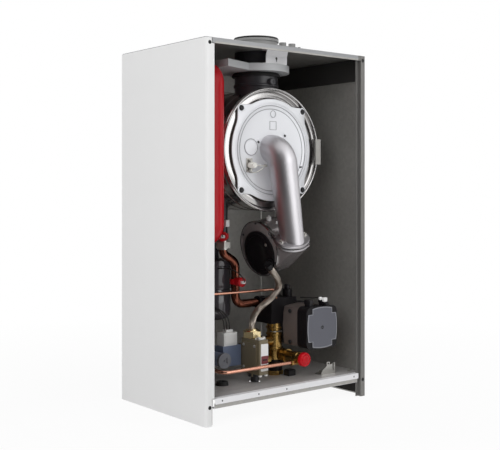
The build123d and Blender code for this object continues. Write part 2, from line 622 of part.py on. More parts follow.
def gas_side():
    """Gas valve, its coil and regulator, and the hose up to the fan."""
    parts = {}
    body = box(VALVE_X, VALVE_Y, VALVE_Z)
    body = fillet(body.edges().filter_by(Axis.Z), 3.0)
    body += box((VALVE_X[0] - 2.5, VALVE_X[0]), (VALVE_Y[0] + 8, VALVE_Y[1] - 8), (VALVE_Z[0] + 8, VALVE_Z[1] - 8))
    body += rod((*NUT_CENTRE, VALVE_Z[1]), (*NUT_CENTRE, VALVE_Z[1] + 5), 13.0)
    body += rod((GAS_X, GAS_Y, VALVE_Z[0]), (GAS_X, GAS_Y, VALVE_Z[0] - 6), 15.0)
    body += box((VALVE_X[0], VALVE_X[1] - 3), (VALVE_Y[1] - 1, VALVE_Y[1] + 8), (VALVE_Z[0] + 14, VALVE_Z[1] - 14))
    parts["gas_valve_body"] = body

    back = VALVE_Y[1] + 8
    left, low, high = VALVE_X[0], VALVE_Z[0] + 14, VALVE_Z[1] - 16
    coil = box((left - 49, left), (VALVE_Y[1], back + 24), (low, high))
    coil += box((left, VALVE_X[1] - 6), (back, back + 24), (low + 4, high - 4))
    x, z = REGULATOR
    coil += rod((x, -57.0, z), (x, back + 20, z), 15.0)
    parts["gas_valve_coil"] = coil - rod((x, -58.0, z), (x, -47.0, z), 5.0 + SHAFT_FIT)
    cap = rod((x, -63.5, z), (x, -57.0 - FIT, z), REGULATOR_RADIUS)
    cap += rod((x, -57.0 - FIT, z), (x, -48.0, z), 5.0)
    cap -= box((x + 4, x + 6.4), (-65, -61.5), (z - 6, z + 6))
    cap -= rod((x - 2, -65, z), (x - 2, -62, z), 1.6)
    parts["regulator_cap"] = cap
    plug = box((left - 45, left - 9), (back - 6, back + 18), (high, high + 28))
    plug += box((left - 35, left - 17), (back - 1, back + 12), (high + 28, high + 34))
    parts["valve_plug"] = plug

    gas_pipe = rod((GAS_X, GAS_Y, STUB_BOTTOM), (GAS_X, GAS_Y, STUB_TOP), GAS_STUB_RADIUS)
    gas_pipe += rod((GAS_X, GAS_Y, STUB_TOP), (GAS_X, GAS_Y, VALVE_Z[0] - 6), GAS_STUB_RADIUS - 1.5)
    gas_pipe -= rod((GAS_X, GAS_Y, STUB_BOTTOM - 1), (GAS_X, GAS_Y, VALVE_Z[0]), 7.0)
    parts["gas_pipe"] = gas_pipe

    nut = extrude(Pos(*NUT_CENTRE, VALVE_Z[1]) * (hexagon(NUT_FLATS) - Circle(13.0)), NUT_HEIGHT - 3)
    nut += extrude(Pos(*NUT_CENTRE, VALVE_Z[1] + 5) * Circle(13.0), NUT_HEIGHT - 8)
    nut -= rod((*NUT_CENTRE, HOSE_POINTS[-1][2] - 8), (*NUT_CENTRE, 200), HOSE_RADIUS)
    parts["hose_nut"] = nut

    points = HOSE_POINTS[:-1] + ((*NUT_CENTRE, VALVE_Z[1] + 12),)
    path = FilletPolyline(*points, radius=hose_radii(points))
    section = Plane(origin=path @ 0, z_dir=path % 0) * RegularPolygon(HOSE_RADIUS, 10)
    hose = sweep(section, path=path)
    parts["gas_hose"] = hose
    return parts


def hose_radii(points):
    """Bend radius at each corner of a route, as large as its two runs allow."""
    radii = []
    for before, corner, after in zip(points, points[1:], points[2:]):
        first = Vector(*corner) - Vector(*before)
        second = Vector(*after) - Vector(*corner)
        half_turn = radians(first.get_angle(second)) / 2
        radii.append(0.45 * min(first.length, second.length) * cos(half_turn) / sin(half_turn))
    return radii


def flue():
    """Flue outlet, the shelf round it, the adapter on the roof and its seal and plugs."""
    parts = {}
    outlet = pipe((0, FLUE_Y, EXCHANGER_Z + 100), (0, FLUE_Y, CEILING), FLUE_OUTLET_RADIUS,
                  FLUE_OUTLET_RADIUS - FLUE_WALL)
    outlet -= exchanger_form()
    outlet -= rod((0, RING_FRONT, EXCHANGER_Z), (0, EXCHANGER_FRONT, EXCHANGER_Z), RING_OUTER + FIT)
    level = SHELF_BOTTOM - 21.5
    boss = rod((0, FLUE_Y - FLUE_OUTLET_RADIUS + 1, level), (0, FLUE_Y - FLUE_OUTLET_RADIUS - 8, level), 7.5)
    parts["flue_outlet"] = outlet + boss

    arm = make_face(Polyline((0, FLUE_Y - 40), (-57, -85), (VESSEL_X[1] + SEAT, -112), (VESSEL_X[1] + SEAT, 40),
                             (-45, 18), (0, FLUE_Y + 40), close=True))
    plan = (Pos(0, FLUE_Y) * Circle(SHELF_RADIUS)) + arm
    shelf = extrude(Pos(0, 0, SHELF_BOTTOM) * plan, SHELF_THICKNESS)
    pocket = extrude(Pos(0, 0, SHELF_BOTTOM + 2.5) * offset(plan, -2.5), SHELF_THICKNESS)
    seat = extrude(Pos(0, 0, SHELF_BOTTOM) * (Pos(0, FLUE_Y) * Circle(FLUE_OUTLET_RADIUS + 4)), SHELF_THICKNESS)
    ledge = box((-31, 31), (FLUE_Y - SHELF_RADIUS, FLUE_Y - SHELF_RADIUS + 18), (SHELF_BOTTOM, SHELF_TOP))
    shelf = shelf - pocket + (seat & shelf) + (ledge & shelf)
    shelf -= rod((0, FLUE_Y, SHELF_BOTTOM - 1), (0, FLUE_Y, SHELF_TOP + 1), FLUE_OUTLET_RADIUS)
    parts["flue_shelf"] = shelf

    top = CASE_HEIGHT + COLLAR_HEIGHT
    foot = CASE_HEIGHT - ADAPTER_DEPTH
    adapter = Pos(0, FLUE_Y, 0) * spun((
        (FLUE_INNER_RADIUS, foot), (FLUE_INNER_RADIUS + 3, foot), (FLUE_INNER_RADIUS + 3, CASE_HEIGHT),
        (COLLAR_RADIUS + 9, CASE_HEIGHT), (COLLAR_RADIUS, CASE_HEIGHT + 8), (COLLAR_RADIUS, top),
        (COLLAR_RADIUS - 3, top), (COLLAR_RADIUS - 3, CASE_HEIGHT + 4), (FLUE_INNER_RADIUS, CASE_HEIGHT + 4)))
    housing = extrude(Pos(78, FLUE_Y, CASE_HEIGHT) * RectangleRounded(84, 30, 12), COLLAR_HEIGHT - 10)
    housing -= rod((0, FLUE_Y, CASE_HEIGHT), (0, FLUE_Y, top), COLLAR_RADIUS - 1)
    for index in range(3):
        x = COLLAR_RADIUS + 16 + 26.0 * index
        housing += box((x - 1.5, x + 1.5), (FLUE_Y - 17, FLUE_Y + 17), (CASE_HEIGHT, top - 9))
    for x in TEST_PLUG_X:
        housing -= rod((x, FLUE_Y, CASE_HEIGHT + 6), (x, FLUE_Y, top + 5), TEST_PLUG_RADIUS - 3)
        housing -= rod((x, FLUE_Y, top - 10), (x, FLUE_Y, top), TEST_PLUG_RADIUS + 1)
    adapter += housing
    parts["flue_adapter"] = adapter

    parts["flue_seal"] = Pos(0, FLUE_Y, 0) * spun((
        (COLLAR_RADIUS, top - 9), (SEAL_RADIUS, top - 9), (SEAL_RADIUS, top - 2),
        (COLLAR_RADIUS + 0.8, top), (COLLAR_RADIUS, top)))
    for name, x in zip(("test_plug_near", "test_plug_far"), TEST_PLUG_X):
        plug = rod((x, FLUE_Y, top - 9.7), (x, FLUE_Y, top - 1), TEST_PLUG_RADIUS)
        plug -= box((x - 6, x + 6), (FLUE_Y - 1, FLUE_Y + 1), (top - 3, top))
        plug += rod((x, FLUE_Y, CASE_HEIGHT + 8), (x, FLUE_Y, top - 9.7), TEST_PLUG_RADIUS - 3 - SHAFT_FIT)
        parts[name] = plug
    return parts


def expansion_vessel():
    """Flat red expansion vessel, pressed from two halves and joined by a seam."""
    depth = VESSEL_Y[1] - VESSEL_Y[0]
    height = VESSEL_Z[1] - VESSEL_Z[0]
    width = VESSEL_X[1] - VESSEL_X[0]
    centre = ((VESSEL_Y[0] + VESSEL_Y[1]) / 2, (VESSEL_Z[0] + VESSEL_Z[1]) / 2)
    side = Plane.YZ.offset(VESSEL_X[0]) * Pos(*centre)
    vessel = extrude(side * RectangleRounded(depth, height, VESSEL_CORNER), width)
    faces = vessel.faces().sort_by(Axis.X)
    vessel = fillet(faces[0].edges() + faces[-1].edges(), VESSEL_EDGE)
    vessel += rod((VESSEL_FITTING[0], VESSEL_FITTING[1], VESSEL_Z[0] + 20),
                  (VESSEL_FITTING[0], VESSEL_FITTING[1], VESSEL_Z[0] - 8), 9.0)
    return vessel


def water_side():
    """Copper pipes, brass manifold, relief valve, trap and the small fittings on them."""
    parts = {}
    x, y = VESSEL_FITTING
    low = VESSEL_Z[0] - 8
    unions = [*extrude(Pos(x, y, low - 14) * hexagon(24), 14).solids()]
    for (pipe_x, pipe_y), height in (((RETURN_X, RETURN_Y), 338), (FLOW_STUB, 334)):
        nut = extrude(Pos(pipe_x, pipe_y, height) * hexagon(30), 14)
        nut -= prism((pipe_x, pipe_y, height - 1), (pipe_x, pipe_y, height + 15), MAIN_PIPE_RADIUS, PIPE_SIDES)
        unions += nut.solids()
    parts["pipe_unions"] = Compound(children=unions)

    parts["vessel_pipe"] = bent_tube(
        ((x, y, low - 14), (x, y, FEED_LEVEL + 2), (42, y, FEED_LEVEL), (42, y, BLOCK_TOP)), 12.0,
        FEED_PIPE_RADIUS, 8)

    meeting = EXCHANGER_Z - EXCHANGER_RADIUS * 0.7
    parts["return_pipe"] = bent_tube(
        ((RETURN_X, RETURN_Y, meeting), (RETURN_X, RETURN_Y, 326), (-41, RETURN_Y, 306),
         (-41, RETURN_Y, RETURN_LEVEL), (VOLUTE_LEFT, RETURN_Y, RETURN_LEVEL)),
        (16.0, 22.0, 20.0), MAIN_PIPE_RADIUS, PIPE_SIDES) - exchanger_form()

    x, y = FLOW_STUB
    flow = prism((x, y, STUB_TOP), (x, y, meeting), MAIN_PIPE_RADIUS, PIPE_SIDES) - exchanger_form()
    flow += rod((x, y, STUB_BOTTOM), (x, y, STUB_TOP), WATER_STUB_RADIUS)
    parts["flow_pipe"] = flow

    x, y = DISCHARGE_STUB
    level = RELIEF_Z - 6
    parts["discharge_pipe"] = bent_tube(
        ((RELIEF_X - 18, RELIEF_Y, level), (x, RELIEF_Y, level), (x, y, level + 6), (x, y, STUB_TOP)),
        (18.0, 14.0), DISCHARGE_RADIUS, 8) + rod((x, y, STUB_BOTTOM), (x, y, STUB_TOP), DISCHARGE_RADIUS)

    x, y = MANIFOLD
    barrel = TRAY_HEIGHT + 16
    manifold = rod((x, y, barrel), (x, y, MANIFOLD_TOP), MANIFOLD_RADIUS)
    manifold += rod((x, y, STUB_BOTTOM), (x, y, STUB_TOP), WATER_STUB_RADIUS)
    manifold += rod((x, y, STUB_TOP), (x, y, barrel), WATER_STUB_RADIUS - 1.5)
    inside = MANIFOLD_RADIUS - 5
    manifold += rod((x - 36, y, 128), (x - inside, y, 128), 12.0)
    manifold += prism((x - 44, y, 128), (x - 36, y, 128), 14.0, 6)
    manifold += prism((x - 30, y, 88), (x - inside, y, 88), 10.0, 6)
    tail = y - MANIFOLD_RADIUS - 5
    manifold += rod((RELIEF_X, y - inside, RELIEF_Z), (RELIEF_X, tail, RELIEF_Z), 11.0)
    manifold -= rod((x, y, STUB_BOTTOM - 1), (x, y, MANIFOLD_TOP - 4), 9.5)
    parts["brass_manifold"] = manifold

    x = RELIEF_X
    front = KNOB_FRONT + KNOB_DEPTH + FIT
    body = prism((x, tail, RELIEF_Z), (x, tail - 14, RELIEF_Z), 15.5, 6)
    body += rod((x, tail - 14, RELIEF_Z), (x, front, RELIEF_Z), 13.0)
    body += rod((x - 18, RELIEF_Y, level), (x, RELIEF_Y, level), 6.5)
    body -= rod((x, front - 1, RELIEF_Z), (x, tail - 6, RELIEF_Z), RELIEF_STEM_RADIUS + SHAFT_FIT)
    parts["relief_valve_body"] = body
    parts["relief_stem"] = rod((x, front - 5, RELIEF_Z), (x, tail - 10, RELIEF_Z), RELIEF_STEM_RADIUS)
    knob = rod((x, KNOB_FRONT + 2, RELIEF_Z), (x, KNOB_FRONT + KNOB_DEPTH, RELIEF_Z), KNOB_RADIUS)
    knob += rod((x, KNOB_FRONT, RELIEF_Z), (x, KNOB_FRONT + 2, RELIEF_Z), KNOB_RADIUS - 3)
    knob -= rod((x, front - 5 - RELIEF_LIFT - 1, RELIEF_Z), (x, front, RELIEF_Z), RELIEF_STEM_RADIUS + FIT)
    parts["relief_knob"] = knob

    x, y = TRAP_CENTRE
    trap = Pos(x, y, 0) * spun(((0, 236), (20, 236), (TRAP_RADIUS, 246), (TRAP_RADIUS, 296),
                                (TRAP_RADIUS + 3, 298), (TRAP_RADIUS + 3, 308), (22, 314), (0, 314)))
    drum = EXCHANGER_Z - EXCHANGER_RADIUS
    trap += bent_tube(((x, y, 312), (x, y, drum - 70), (*DRAIN, drum - 48), (*DRAIN, drum + 20)), 12.0,
                      DRAIN_RADIUS, 10) - exchanger_form()
    x, y = CONDENSATE_STUB
    outlet = bent_tube(((TRAP_CENTRE[0] - 20, TRAP_CENTRE[1] + 14, 256), (x, y, 256), (x, y, STUB_TOP)),
                       22.0, CONDENSATE_RADIUS, 12)
    outlet += rod((x, y, STUB_BOTTOM), (x, y, STUB_TOP), CONDENSATE_RADIUS)
    parts["condensate_trap"] = trap + outlet

    clips = []
    for x, height, turn in ((RETURN_X, 359, 38), (-41, 258, 0)):
        clip = prism((x, RETURN_Y, height), (x, RETURN_Y, height + 11), MAIN_PIPE_RADIUS + 3, 12)
        outward = (x - 22 * sin(radians(turn)), RETURN_Y - 22 * cos(radians(turn)), height + 5.5)
        clip += prism((x, RETURN_Y, height + 5.5), outward, 10.0, 16)
        clip -= prism((x, RETURN_Y, height - 11), (x, RETURN_Y, height + 22), MAIN_PIPE_RADIUS, PIPE_SIDES)
        clips += clip.solids()
    parts["sensor_clips"] = Compound(children=clips)

    x, y = VENT_CENTRE
    seat = BLOCK_TOP
    body = rod((x, y, seat), (x, y, seat + 16), 11.0) - rod((x, y, seat + 6), (x, y, seat + 17), 3.5 + SHAFT_FIT)
    parts["air_vent_body"] = body
    cap = rod((x, y, seat + 16 + FIT), (x, y, seat + 26), 6.0) + rod((x, y, seat + 8), (x, y, seat + 17), 3.5)
    parts["air_vent_cap"] = cap
    return parts


def bowed_square(width, height, notch, bow):
    """Square with bowed sides and stepped corners."""
    w = width / 2
    h = height / 2
    corner = []
    for sx, sy in ((1, 1), (-1, 1), (-1, -1), (1, -1)):
        corner.append((sx * (w - notch), sy * (h - notch)))
    face = Rectangle(width - 2 * notch, height - 2 * notch)
    for angle, half, reach in ((0, h - notch, w), (90, w - notch, h), (180, h - notch, w), (270, w - notch, h)):
        side = make_face(
            ThreePointArc((reach - bow, -half), (reach, 0), (reach - bow, half))
            + Polyline((reach - bow, half), (0, half), (0, -half), (reach - bow, -half)))
        face += Rot(0, 0, angle) * side
    return face


def pump():
    """Circulating pump: control box, stator housing, hydraulic housing and rotor."""
    parts = {}
    box_front = PLATE_FRONT + PLATE_THICKNESS
    stator_front = box_front + PUMP_BOX_DEPTH
    volute_front = stator_front + STATOR_DEPTH
    volute_back = volute_front + VOLUTE_DEPTH
    x, z = PUMP_X, PUMP_Z

    plate = extrude(facing(box_front, x, z) * bowed_square(88, 90, PLATE_NOTCH, 3), PLATE_THICKNESS)
    plate -= rod((x, PLATE_FRONT - 1, z), (x, box_front + 1, z), VENT_SCREW_RADIUS + FIT)
    parts["pump_faceplate"] = plate

    control = extrude(facing(stator_front, x, z) * RectangleRounded(92, 92, 14), PUMP_BOX_DEPTH)
    for side in (-24, 18):
        control += rod((x + side, stator_front - 13, z + 40), (x + side, stator_front - 13, z + 60), 9.0)
    control -= rod((x, box_front - 1, z), (x, box_front + 12, z), VENT_SCREW_RADIUS + FIT)
    control -= rod((x, box_front + 11, z), (x, box_front + 20, z), 2.5 + SHAFT_FIT)
    parts["pump_control_box"] = control
    screw = rod((x, PLATE_FRONT + 0.4, z), (x, box_front + 11.5, z), VENT_SCREW_RADIUS)
    screw += rod((x, box_front + 11.5, z), (x, box_front + 18, z), 2.5)
    screw -= box((x - 3, x + 3), (PLATE_FRONT, PLATE_FRONT + 1.6), (z - 0.6, z + 0.6))
    parts["pump_vent_screw"] = screw

    stator = extrude(facing(volute_front, x, z) * bowed_square(STATOR_SIZE, STATOR_SIZE, 5, 5), STATOR_DEPTH)
    stator -= rod((x, stator_front + 8, z), (x, volute_front + 1, z), ROTOR_RADIUS + 2)
    stator -= rod((x, stator_front + 2, z), (x, stator_front + 9, z), PUMP_SHAFT_RADIUS + SHAFT_FIT)
    for sx in (-1, 1):
        for sz in (-1, 1):
            spot = (x + sx * 38, z + sz * 38)
            stator -= rod((spot[0], stator_front - 1, spot[1]), (spot[0], stator_front + 9, spot[1]), 4.5)
    parts["pump_stator_housing"] = stator

    volute = rod((x, volute_front, z), (x, volute_back, z), 49.0)
    volute += box((VOLUTE_LEFT, 100), (volute_front, volute_back + 8), (MANIFOLD_TOP, BLOCK_TOP))
    level = RETURN_LEVEL
    volute += rod((VOLUTE_LEFT - 6, RETURN_Y, level), (VOLUTE_LEFT + 10, RETURN_Y, level), 14.0)
    volute -= rod((x, volute_front - 1, z), (x, volute_front + 26, z), 36.0)
    volute -= rod((x, volute_front + 20, z), (x, volute_front + 34, z), PUMP_SHAFT_RADIUS + SHAFT_FIT)
    volute -= rod((VOLUTE_LEFT - 7, RETURN_Y, level), (VOLUTE_LEFT, RETURN_Y, level), MAIN_PIPE_RADIUS)
    volute -= rod((*MANIFOLD, 60), (*MANIFOLD, MANIFOLD_TOP), MANIFOLD_RADIUS + FIT)
    parts["pump_volute"] = volute

    rotor = rod((x, stator_front + 3, z), (x, volute_front + 33, z), PUMP_SHAFT_RADIUS)
    rotor += prism((x, stator_front + 10, z), (x, volute_front - 4, z), ROTOR_RADIUS, 16)
    rotor += prism((x, volute_front + 6, z), (x, volute_front + 8, z), 32.0, 16)
    for index in range(6):
        blade = Rot(0, 0, 60 * index) * Pos(18, 0) * Rectangle(26, 2)
        rotor += extrude(facing(volute_front + 22, x, z) * blade, 14)
    rotor += rod((x, volute_front + 8, z), (x, volute_front + 22, z), 8.0)
    parts["pump_rotor"] = rotor
    return parts


def build():
    """Every piece of the boiler, by name."""
    parts = {}
    for group in (casing, exchanger, fan, gas_side, flue, water_side, pump):
        parts.update(group())
    parts["expansion_vessel"] = expansion_vessel()
    return parts


os.makedirs("parts", exist_ok=True)
for name, shape in build().items():
    export_step(shape, f"parts/{name}.step")
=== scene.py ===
import json
import logging
from dataclasses import dataclass
from enum import Enum
from math import cos, degrees, pi, radians, sin, sqrt

import bmesh
import bpy
from mathutils import Matrix, Vector


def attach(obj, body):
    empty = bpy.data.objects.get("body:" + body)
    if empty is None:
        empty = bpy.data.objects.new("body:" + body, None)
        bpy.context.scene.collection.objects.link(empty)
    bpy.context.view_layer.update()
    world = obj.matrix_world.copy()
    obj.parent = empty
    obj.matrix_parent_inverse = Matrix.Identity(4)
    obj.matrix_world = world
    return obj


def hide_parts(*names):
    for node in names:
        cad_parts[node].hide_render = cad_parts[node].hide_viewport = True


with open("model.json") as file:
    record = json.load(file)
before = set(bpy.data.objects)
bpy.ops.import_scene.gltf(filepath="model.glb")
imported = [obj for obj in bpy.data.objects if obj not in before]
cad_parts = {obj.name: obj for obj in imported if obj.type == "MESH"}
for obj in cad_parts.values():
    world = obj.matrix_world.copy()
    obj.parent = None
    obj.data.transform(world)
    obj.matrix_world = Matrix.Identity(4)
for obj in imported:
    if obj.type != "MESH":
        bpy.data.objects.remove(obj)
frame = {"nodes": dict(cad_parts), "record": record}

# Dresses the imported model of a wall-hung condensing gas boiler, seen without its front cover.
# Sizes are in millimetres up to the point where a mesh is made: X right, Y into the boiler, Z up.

Point = tuple[float, float, float]
Outline = list[tuple[float, float]]
Colour = tuple[float, float, float]
Piece = bpy.types.Object
Socket = bpy.types.NodeSocket
Tree = bpy.types.NodeTree

LOG = logging.getLogger("boiler")
MM = 0.001
FRONT: Point = (0.0, -1.0, 0.0)
BACK: Point = (0.0, 1.0, 0.0)
LEFT: Point = (-1.0, 0.0, 0.0)
RIGHT: Point = (1.0, 0.0, 0.0)
UP: Point = (0.0, 0.0, 1.0)
BOILER = "boiler"
NO_RADIUS = 1e-6
HALF_WIDTH = 225.0
HALF_DEPTH = 157.5
HEIGHT = 766.0


class Grain(Enum):
    """Ways in which a surface's colour varies at close range."""

    PLAIN = "plain"
    SPANGLE = "spangle"
    SHEET = "sheet"


@dataclass(frozen=True)
class Finish:
    """One surface finish of the boiler.

    Args:
        name: name of the finish and of its material.
        colour: linear base colour.
        roughness: middle of the roughness range.
        metallic: 1 for bare metal, 0 for paint and plastic.
        size: size of the fine grain in millimetres.
        relief: depth of the fine grain in millimetres.
        spread: share by which the colour varies.
        coat: weight of the clear coat.
        dust: share of dust on faces that look up.
        stretch: how far the grain is drawn out along each axis.
        specular: strength of the surface's mirror-like share.
        grain: PLAIN, SPANGLE for a zinc coat, or SHEET for one that is painted on its outside.
    """

    name: str
    colour: Colour
    roughness: float
    metallic: float = 0.0
    size: float = 0.8
    relief: float = 0.02
    spread: float = 0.05
    coat: float = 0.0
    dust: float = 0.0
    stretch: Point = (1.0, 1.0, 1.0)
    specular: float = 0.5
    grain: Grain = Grain.PLAIN


FINISHES = (
    Finish("white_paint", (0.83, 0.83, 0.83), 0.38, grain=Grain.SHEET, size=0.9, relief=0.012, spread=0.02, coat=0.15),
    # Painted shade: this grey is darkened for the roof's top lip, which gets less light.
    Finish("roof_paint", (0.34, 0.345, 0.355), 0.36, grain=Grain.SHEET, size=0.9, relief=0.012, spread=0.03, coat=0.1),
    # Painted light: a brighter copy of the casing's white, for the front rail and the latch bracket.
    Finish("rail_paint", (0.88, 0.88, 0.9), 0.38, size=0.9, relief=0.012, spread=0.02, coat=0.1),
    Finish("galvanised", (0.40, 0.39, 0.37), 0.48, 0.6, 6.0, 0.01, 0.16, grain=Grain.SPANGLE),
    Finish("tray_paint", (0.62, 0.6, 0.59), 0.2, 0.2, 1.4, 0.01, 0.16),
    Finish("black_rubber", (0.014, 0.014, 0.014), 0.62, relief=0.03, specular=0.25),
    Finish("grey_plastic", (0.13, 0.135, 0.155), 0.34, spread=0.08),
    Finish("shelf_plastic", (0.5, 0.51, 0.52), 0.42, size=1.2, spread=0.05, dust=0.1),
    Finish("black_plastic", (0.008, 0.007, 0.008), 0.34, size=1.1, relief=0.03, spread=0.1, dust=0.02, specular=0.22),
    Finish("stainless", (0.66, 0.65, 0.63), 0.2, 1.0, 0.35, 0.004, 0.06, stretch=(1.0, 0.06, 1.0)),
    Finish("polished_steel", (0.5, 0.49, 0.485), 0.17, 1.0, 0.5, 0.003, 0.05, stretch=(1.0, 0.2, 1.0)),
    Finish("cast_aluminium", (0.82, 0.83, 0.86), 0.42, 0.25, 0.9, 0.05, 0.05),
    Finish("pipe_aluminium", (0.7, 0.685, 0.71), 0.47, 1.0, 0.8, 0.012, 0.05),
    Finish("dark_casting", (0.36, 0.33, 0.33), 0.2, 0.6, 0.9, 0.008, 0.1),
    Finish("flange_casting", (0.44, 0.43, 0.44), 0.4, 1.0, 0.9, 0.03, 0.1),
    # Painted shade: near-black casting laid over the door's side wall.
    Finish("edge_casting", (0.11, 0.085, 0.08), 0.5, 0.5, 0.9, 0.03, 0.1),
    Finish("gasket", (0.03, 0.03, 0.03), 0.7),
    Finish("zinc_steel", (0.5, 0.49, 0.46), 0.33, 0.9, 0.7, 0.006, 0.12),
    Finish("black_steel", (0.03, 0.03, 0.032), 0.36, 0.5, 0.7, 0.006, 0.12),
    Finish("ceramic", (0.78, 0.77, 0.72), 0.16, coat=0.4, relief=0.004),
    # Painted shade: this brass is darkened for the brass block and valve parts that sit in the casing's shade.
    Finish("brass", (0.42, 0.27, 0.09), 0.27, 1.0, 0.7, 0.006, 0.16, stretch=(1.0, 1.0, 0.3)),
    Finish("bright_brass", (0.88, 0.73, 0.42), 0.24, 1.0, 0.7, 0.005, 0.1, stretch=(1.0, 1.0, 0.3)),
    Finish("copper", (0.62, 0.31, 0.22), 0.2, 1.0, 2.2, 0.004, 0.12),
    # Painted shade: copper darkened for the return pipe deep inside the casing.
    Finish("aged_copper", (0.2, 0.07, 0.045), 0.24, 1.0, 2.2, 0.004, 0.16),
    # Painted shade: darker casting for the door's ridges and rings, standing in for the shade along them.
    Finish("groove_casting", (0.4, 0.4, 0.42), 0.42, 0.5, 0.9, 0.03, 0.06),
    Finish("braid", (0.46, 0.41, 0.36), 0.3, 1.0, 0.5, 0.02, 0.14),
    Finish("valve_paint", (0.18, 0.15, 0.095), 0.42, 0.35, 0.8, 0.03, 0.12),
    Finish("coil_plastic", (0.16, 0.2, 0.3), 0.32, spread=0.08),
    Finish("white_plastic", (0.84, 0.84, 0.83), 0.34, spread=0.03),
    Finish("vessel_red", (0.52, 0.01, 0.018), 0.24, size=2.2, relief=0.02, spread=0.08, coat=0.05, specular=0.15),
    Finish("red_plastic", (0.5, 0.006, 0.012), 0.28, spread=0.06, specular=0.2),
    Finish("plate_red", (0.16, 0.02, 0.026), 0.4, spread=0.1),
    Finish("stator_paint", (0.17, 0.138, 0.128), 0.4, 0.4, 0.8, 0.03, 0.12),
    Finish("plate_grey", (0.1, 0.103, 0.125), 0.42, spread=0.05),
    Finish("border_grey", (0.27, 0.275, 0.3), 0.4, spread=0.05),
    Finish("adapter_plastic", (0.3, 0.3, 0.295), 0.42, size=1.0, dust=0.1, specular=0.3),
    Finish("wire_black", (0.02, 0.018, 0.018), 0.42, relief=0.01),
    Finish("foam", (0.028, 0.026, 0.025), 0.9, size=1.6, relief=0.4, spread=0.2),
    Finish("duct_plastic", (0.03, 0.029, 0.033), 0.36, size=1.1, relief=0.02, spread=0.1),
    Finish("trap_plastic", (0.075, 0.07, 0.08), 0.14, size=1.4, relief=0.01, spread=0.08, coat=0.6),
)

# The finish of each CAD node whose surface differs from the rest of its slot, or that gets painted light.
NODE_FINISH = {
    # The rail and the latch bracket get their brighter white as painted light.
    "front_rail": "rail_paint", "latch_bracket": "rail_paint", "fan_volute": "dark_casting",
    "fan_cover": "dark_casting", "mixture_pipe": "pipe_aluminium", "gas_pipe": "black_steel",
    "foot_block": "black_plastic", "pump_vent_screw": "black_steel", "flue_outlet": "duct_plastic",
    "test_plug_near": "adapter_plastic", "test_plug_far": "adapter_plastic", "condensate_trap": "trap_plastic",
    "pipe_bracket": "zinc_steel", "air_vent_body": "black_plastic",
}
# Sizes of the casing's sheet in millimetres, by the name that the skin group gives them.
SHEET = {
    "Half Width": HALF_WIDTH, "Half Depth": HALF_DEPTH, "Height": HEIGHT, "Corner": 7.0, "Half Sheet": 0.6,
    "Front Skin": 2.5, "Bare From": 200.0, "Lip": 7.6, "Hem Depth": 13.0,
}
SHEET_ZINC = "galvanised"
# Painted shade: the dark zinc colour laid on the hem of the right front flange.
HEM_PAINTED_SHADE = (0.2, 0.195, 0.187, 1.0)
DUST_COLOUR = (0.3, 0.29, 0.27, 1.0)
WHITE = (1.0, 1.0, 1.0, 1.0)
COAT_ROUGHNESS = 0.08
BEVEL_FROM = 40.0
BEND_STEPS = 12
STRANDS = 24
STRAND_STEPS = 260
# Length of a strand's turn round its hose, as a multiple of the hose's radius.
BRAID_LAY = 8.0
TWIST_SEED = 4


class Value:
    """Result of a node, on which plain operators work by adding further nodes."""

    def __init__(self, graph: "Graph", socket: Socket) -> None:
        """Keeps the graph and the node's output."""
        self.graph = graph
        self.socket = socket

    def __add__(self, other) -> "Value":
        return self.graph.maths("ADD", self, other)

    def __sub__(self, other) -> "Value":
        return self.graph.maths("SUBTRACT", self, other)

    def __rsub__(self, other) -> "Value":
        return self.graph.maths("SUBTRACT", other, self)

    def __mul__(self, other) -> "Value":
        return self.graph.maths("MULTIPLY", self, other)

    def __truediv__(self, other) -> "Value":
        return self.graph.maths("DIVIDE", self, other)

    def __gt__(self, other) -> "Value":
        return self.graph.maths("GREATER_THAN", self, other)

    def __lt__(self, other) -> "Value":
        return self.graph.maths("LESS_THAN", self, other)


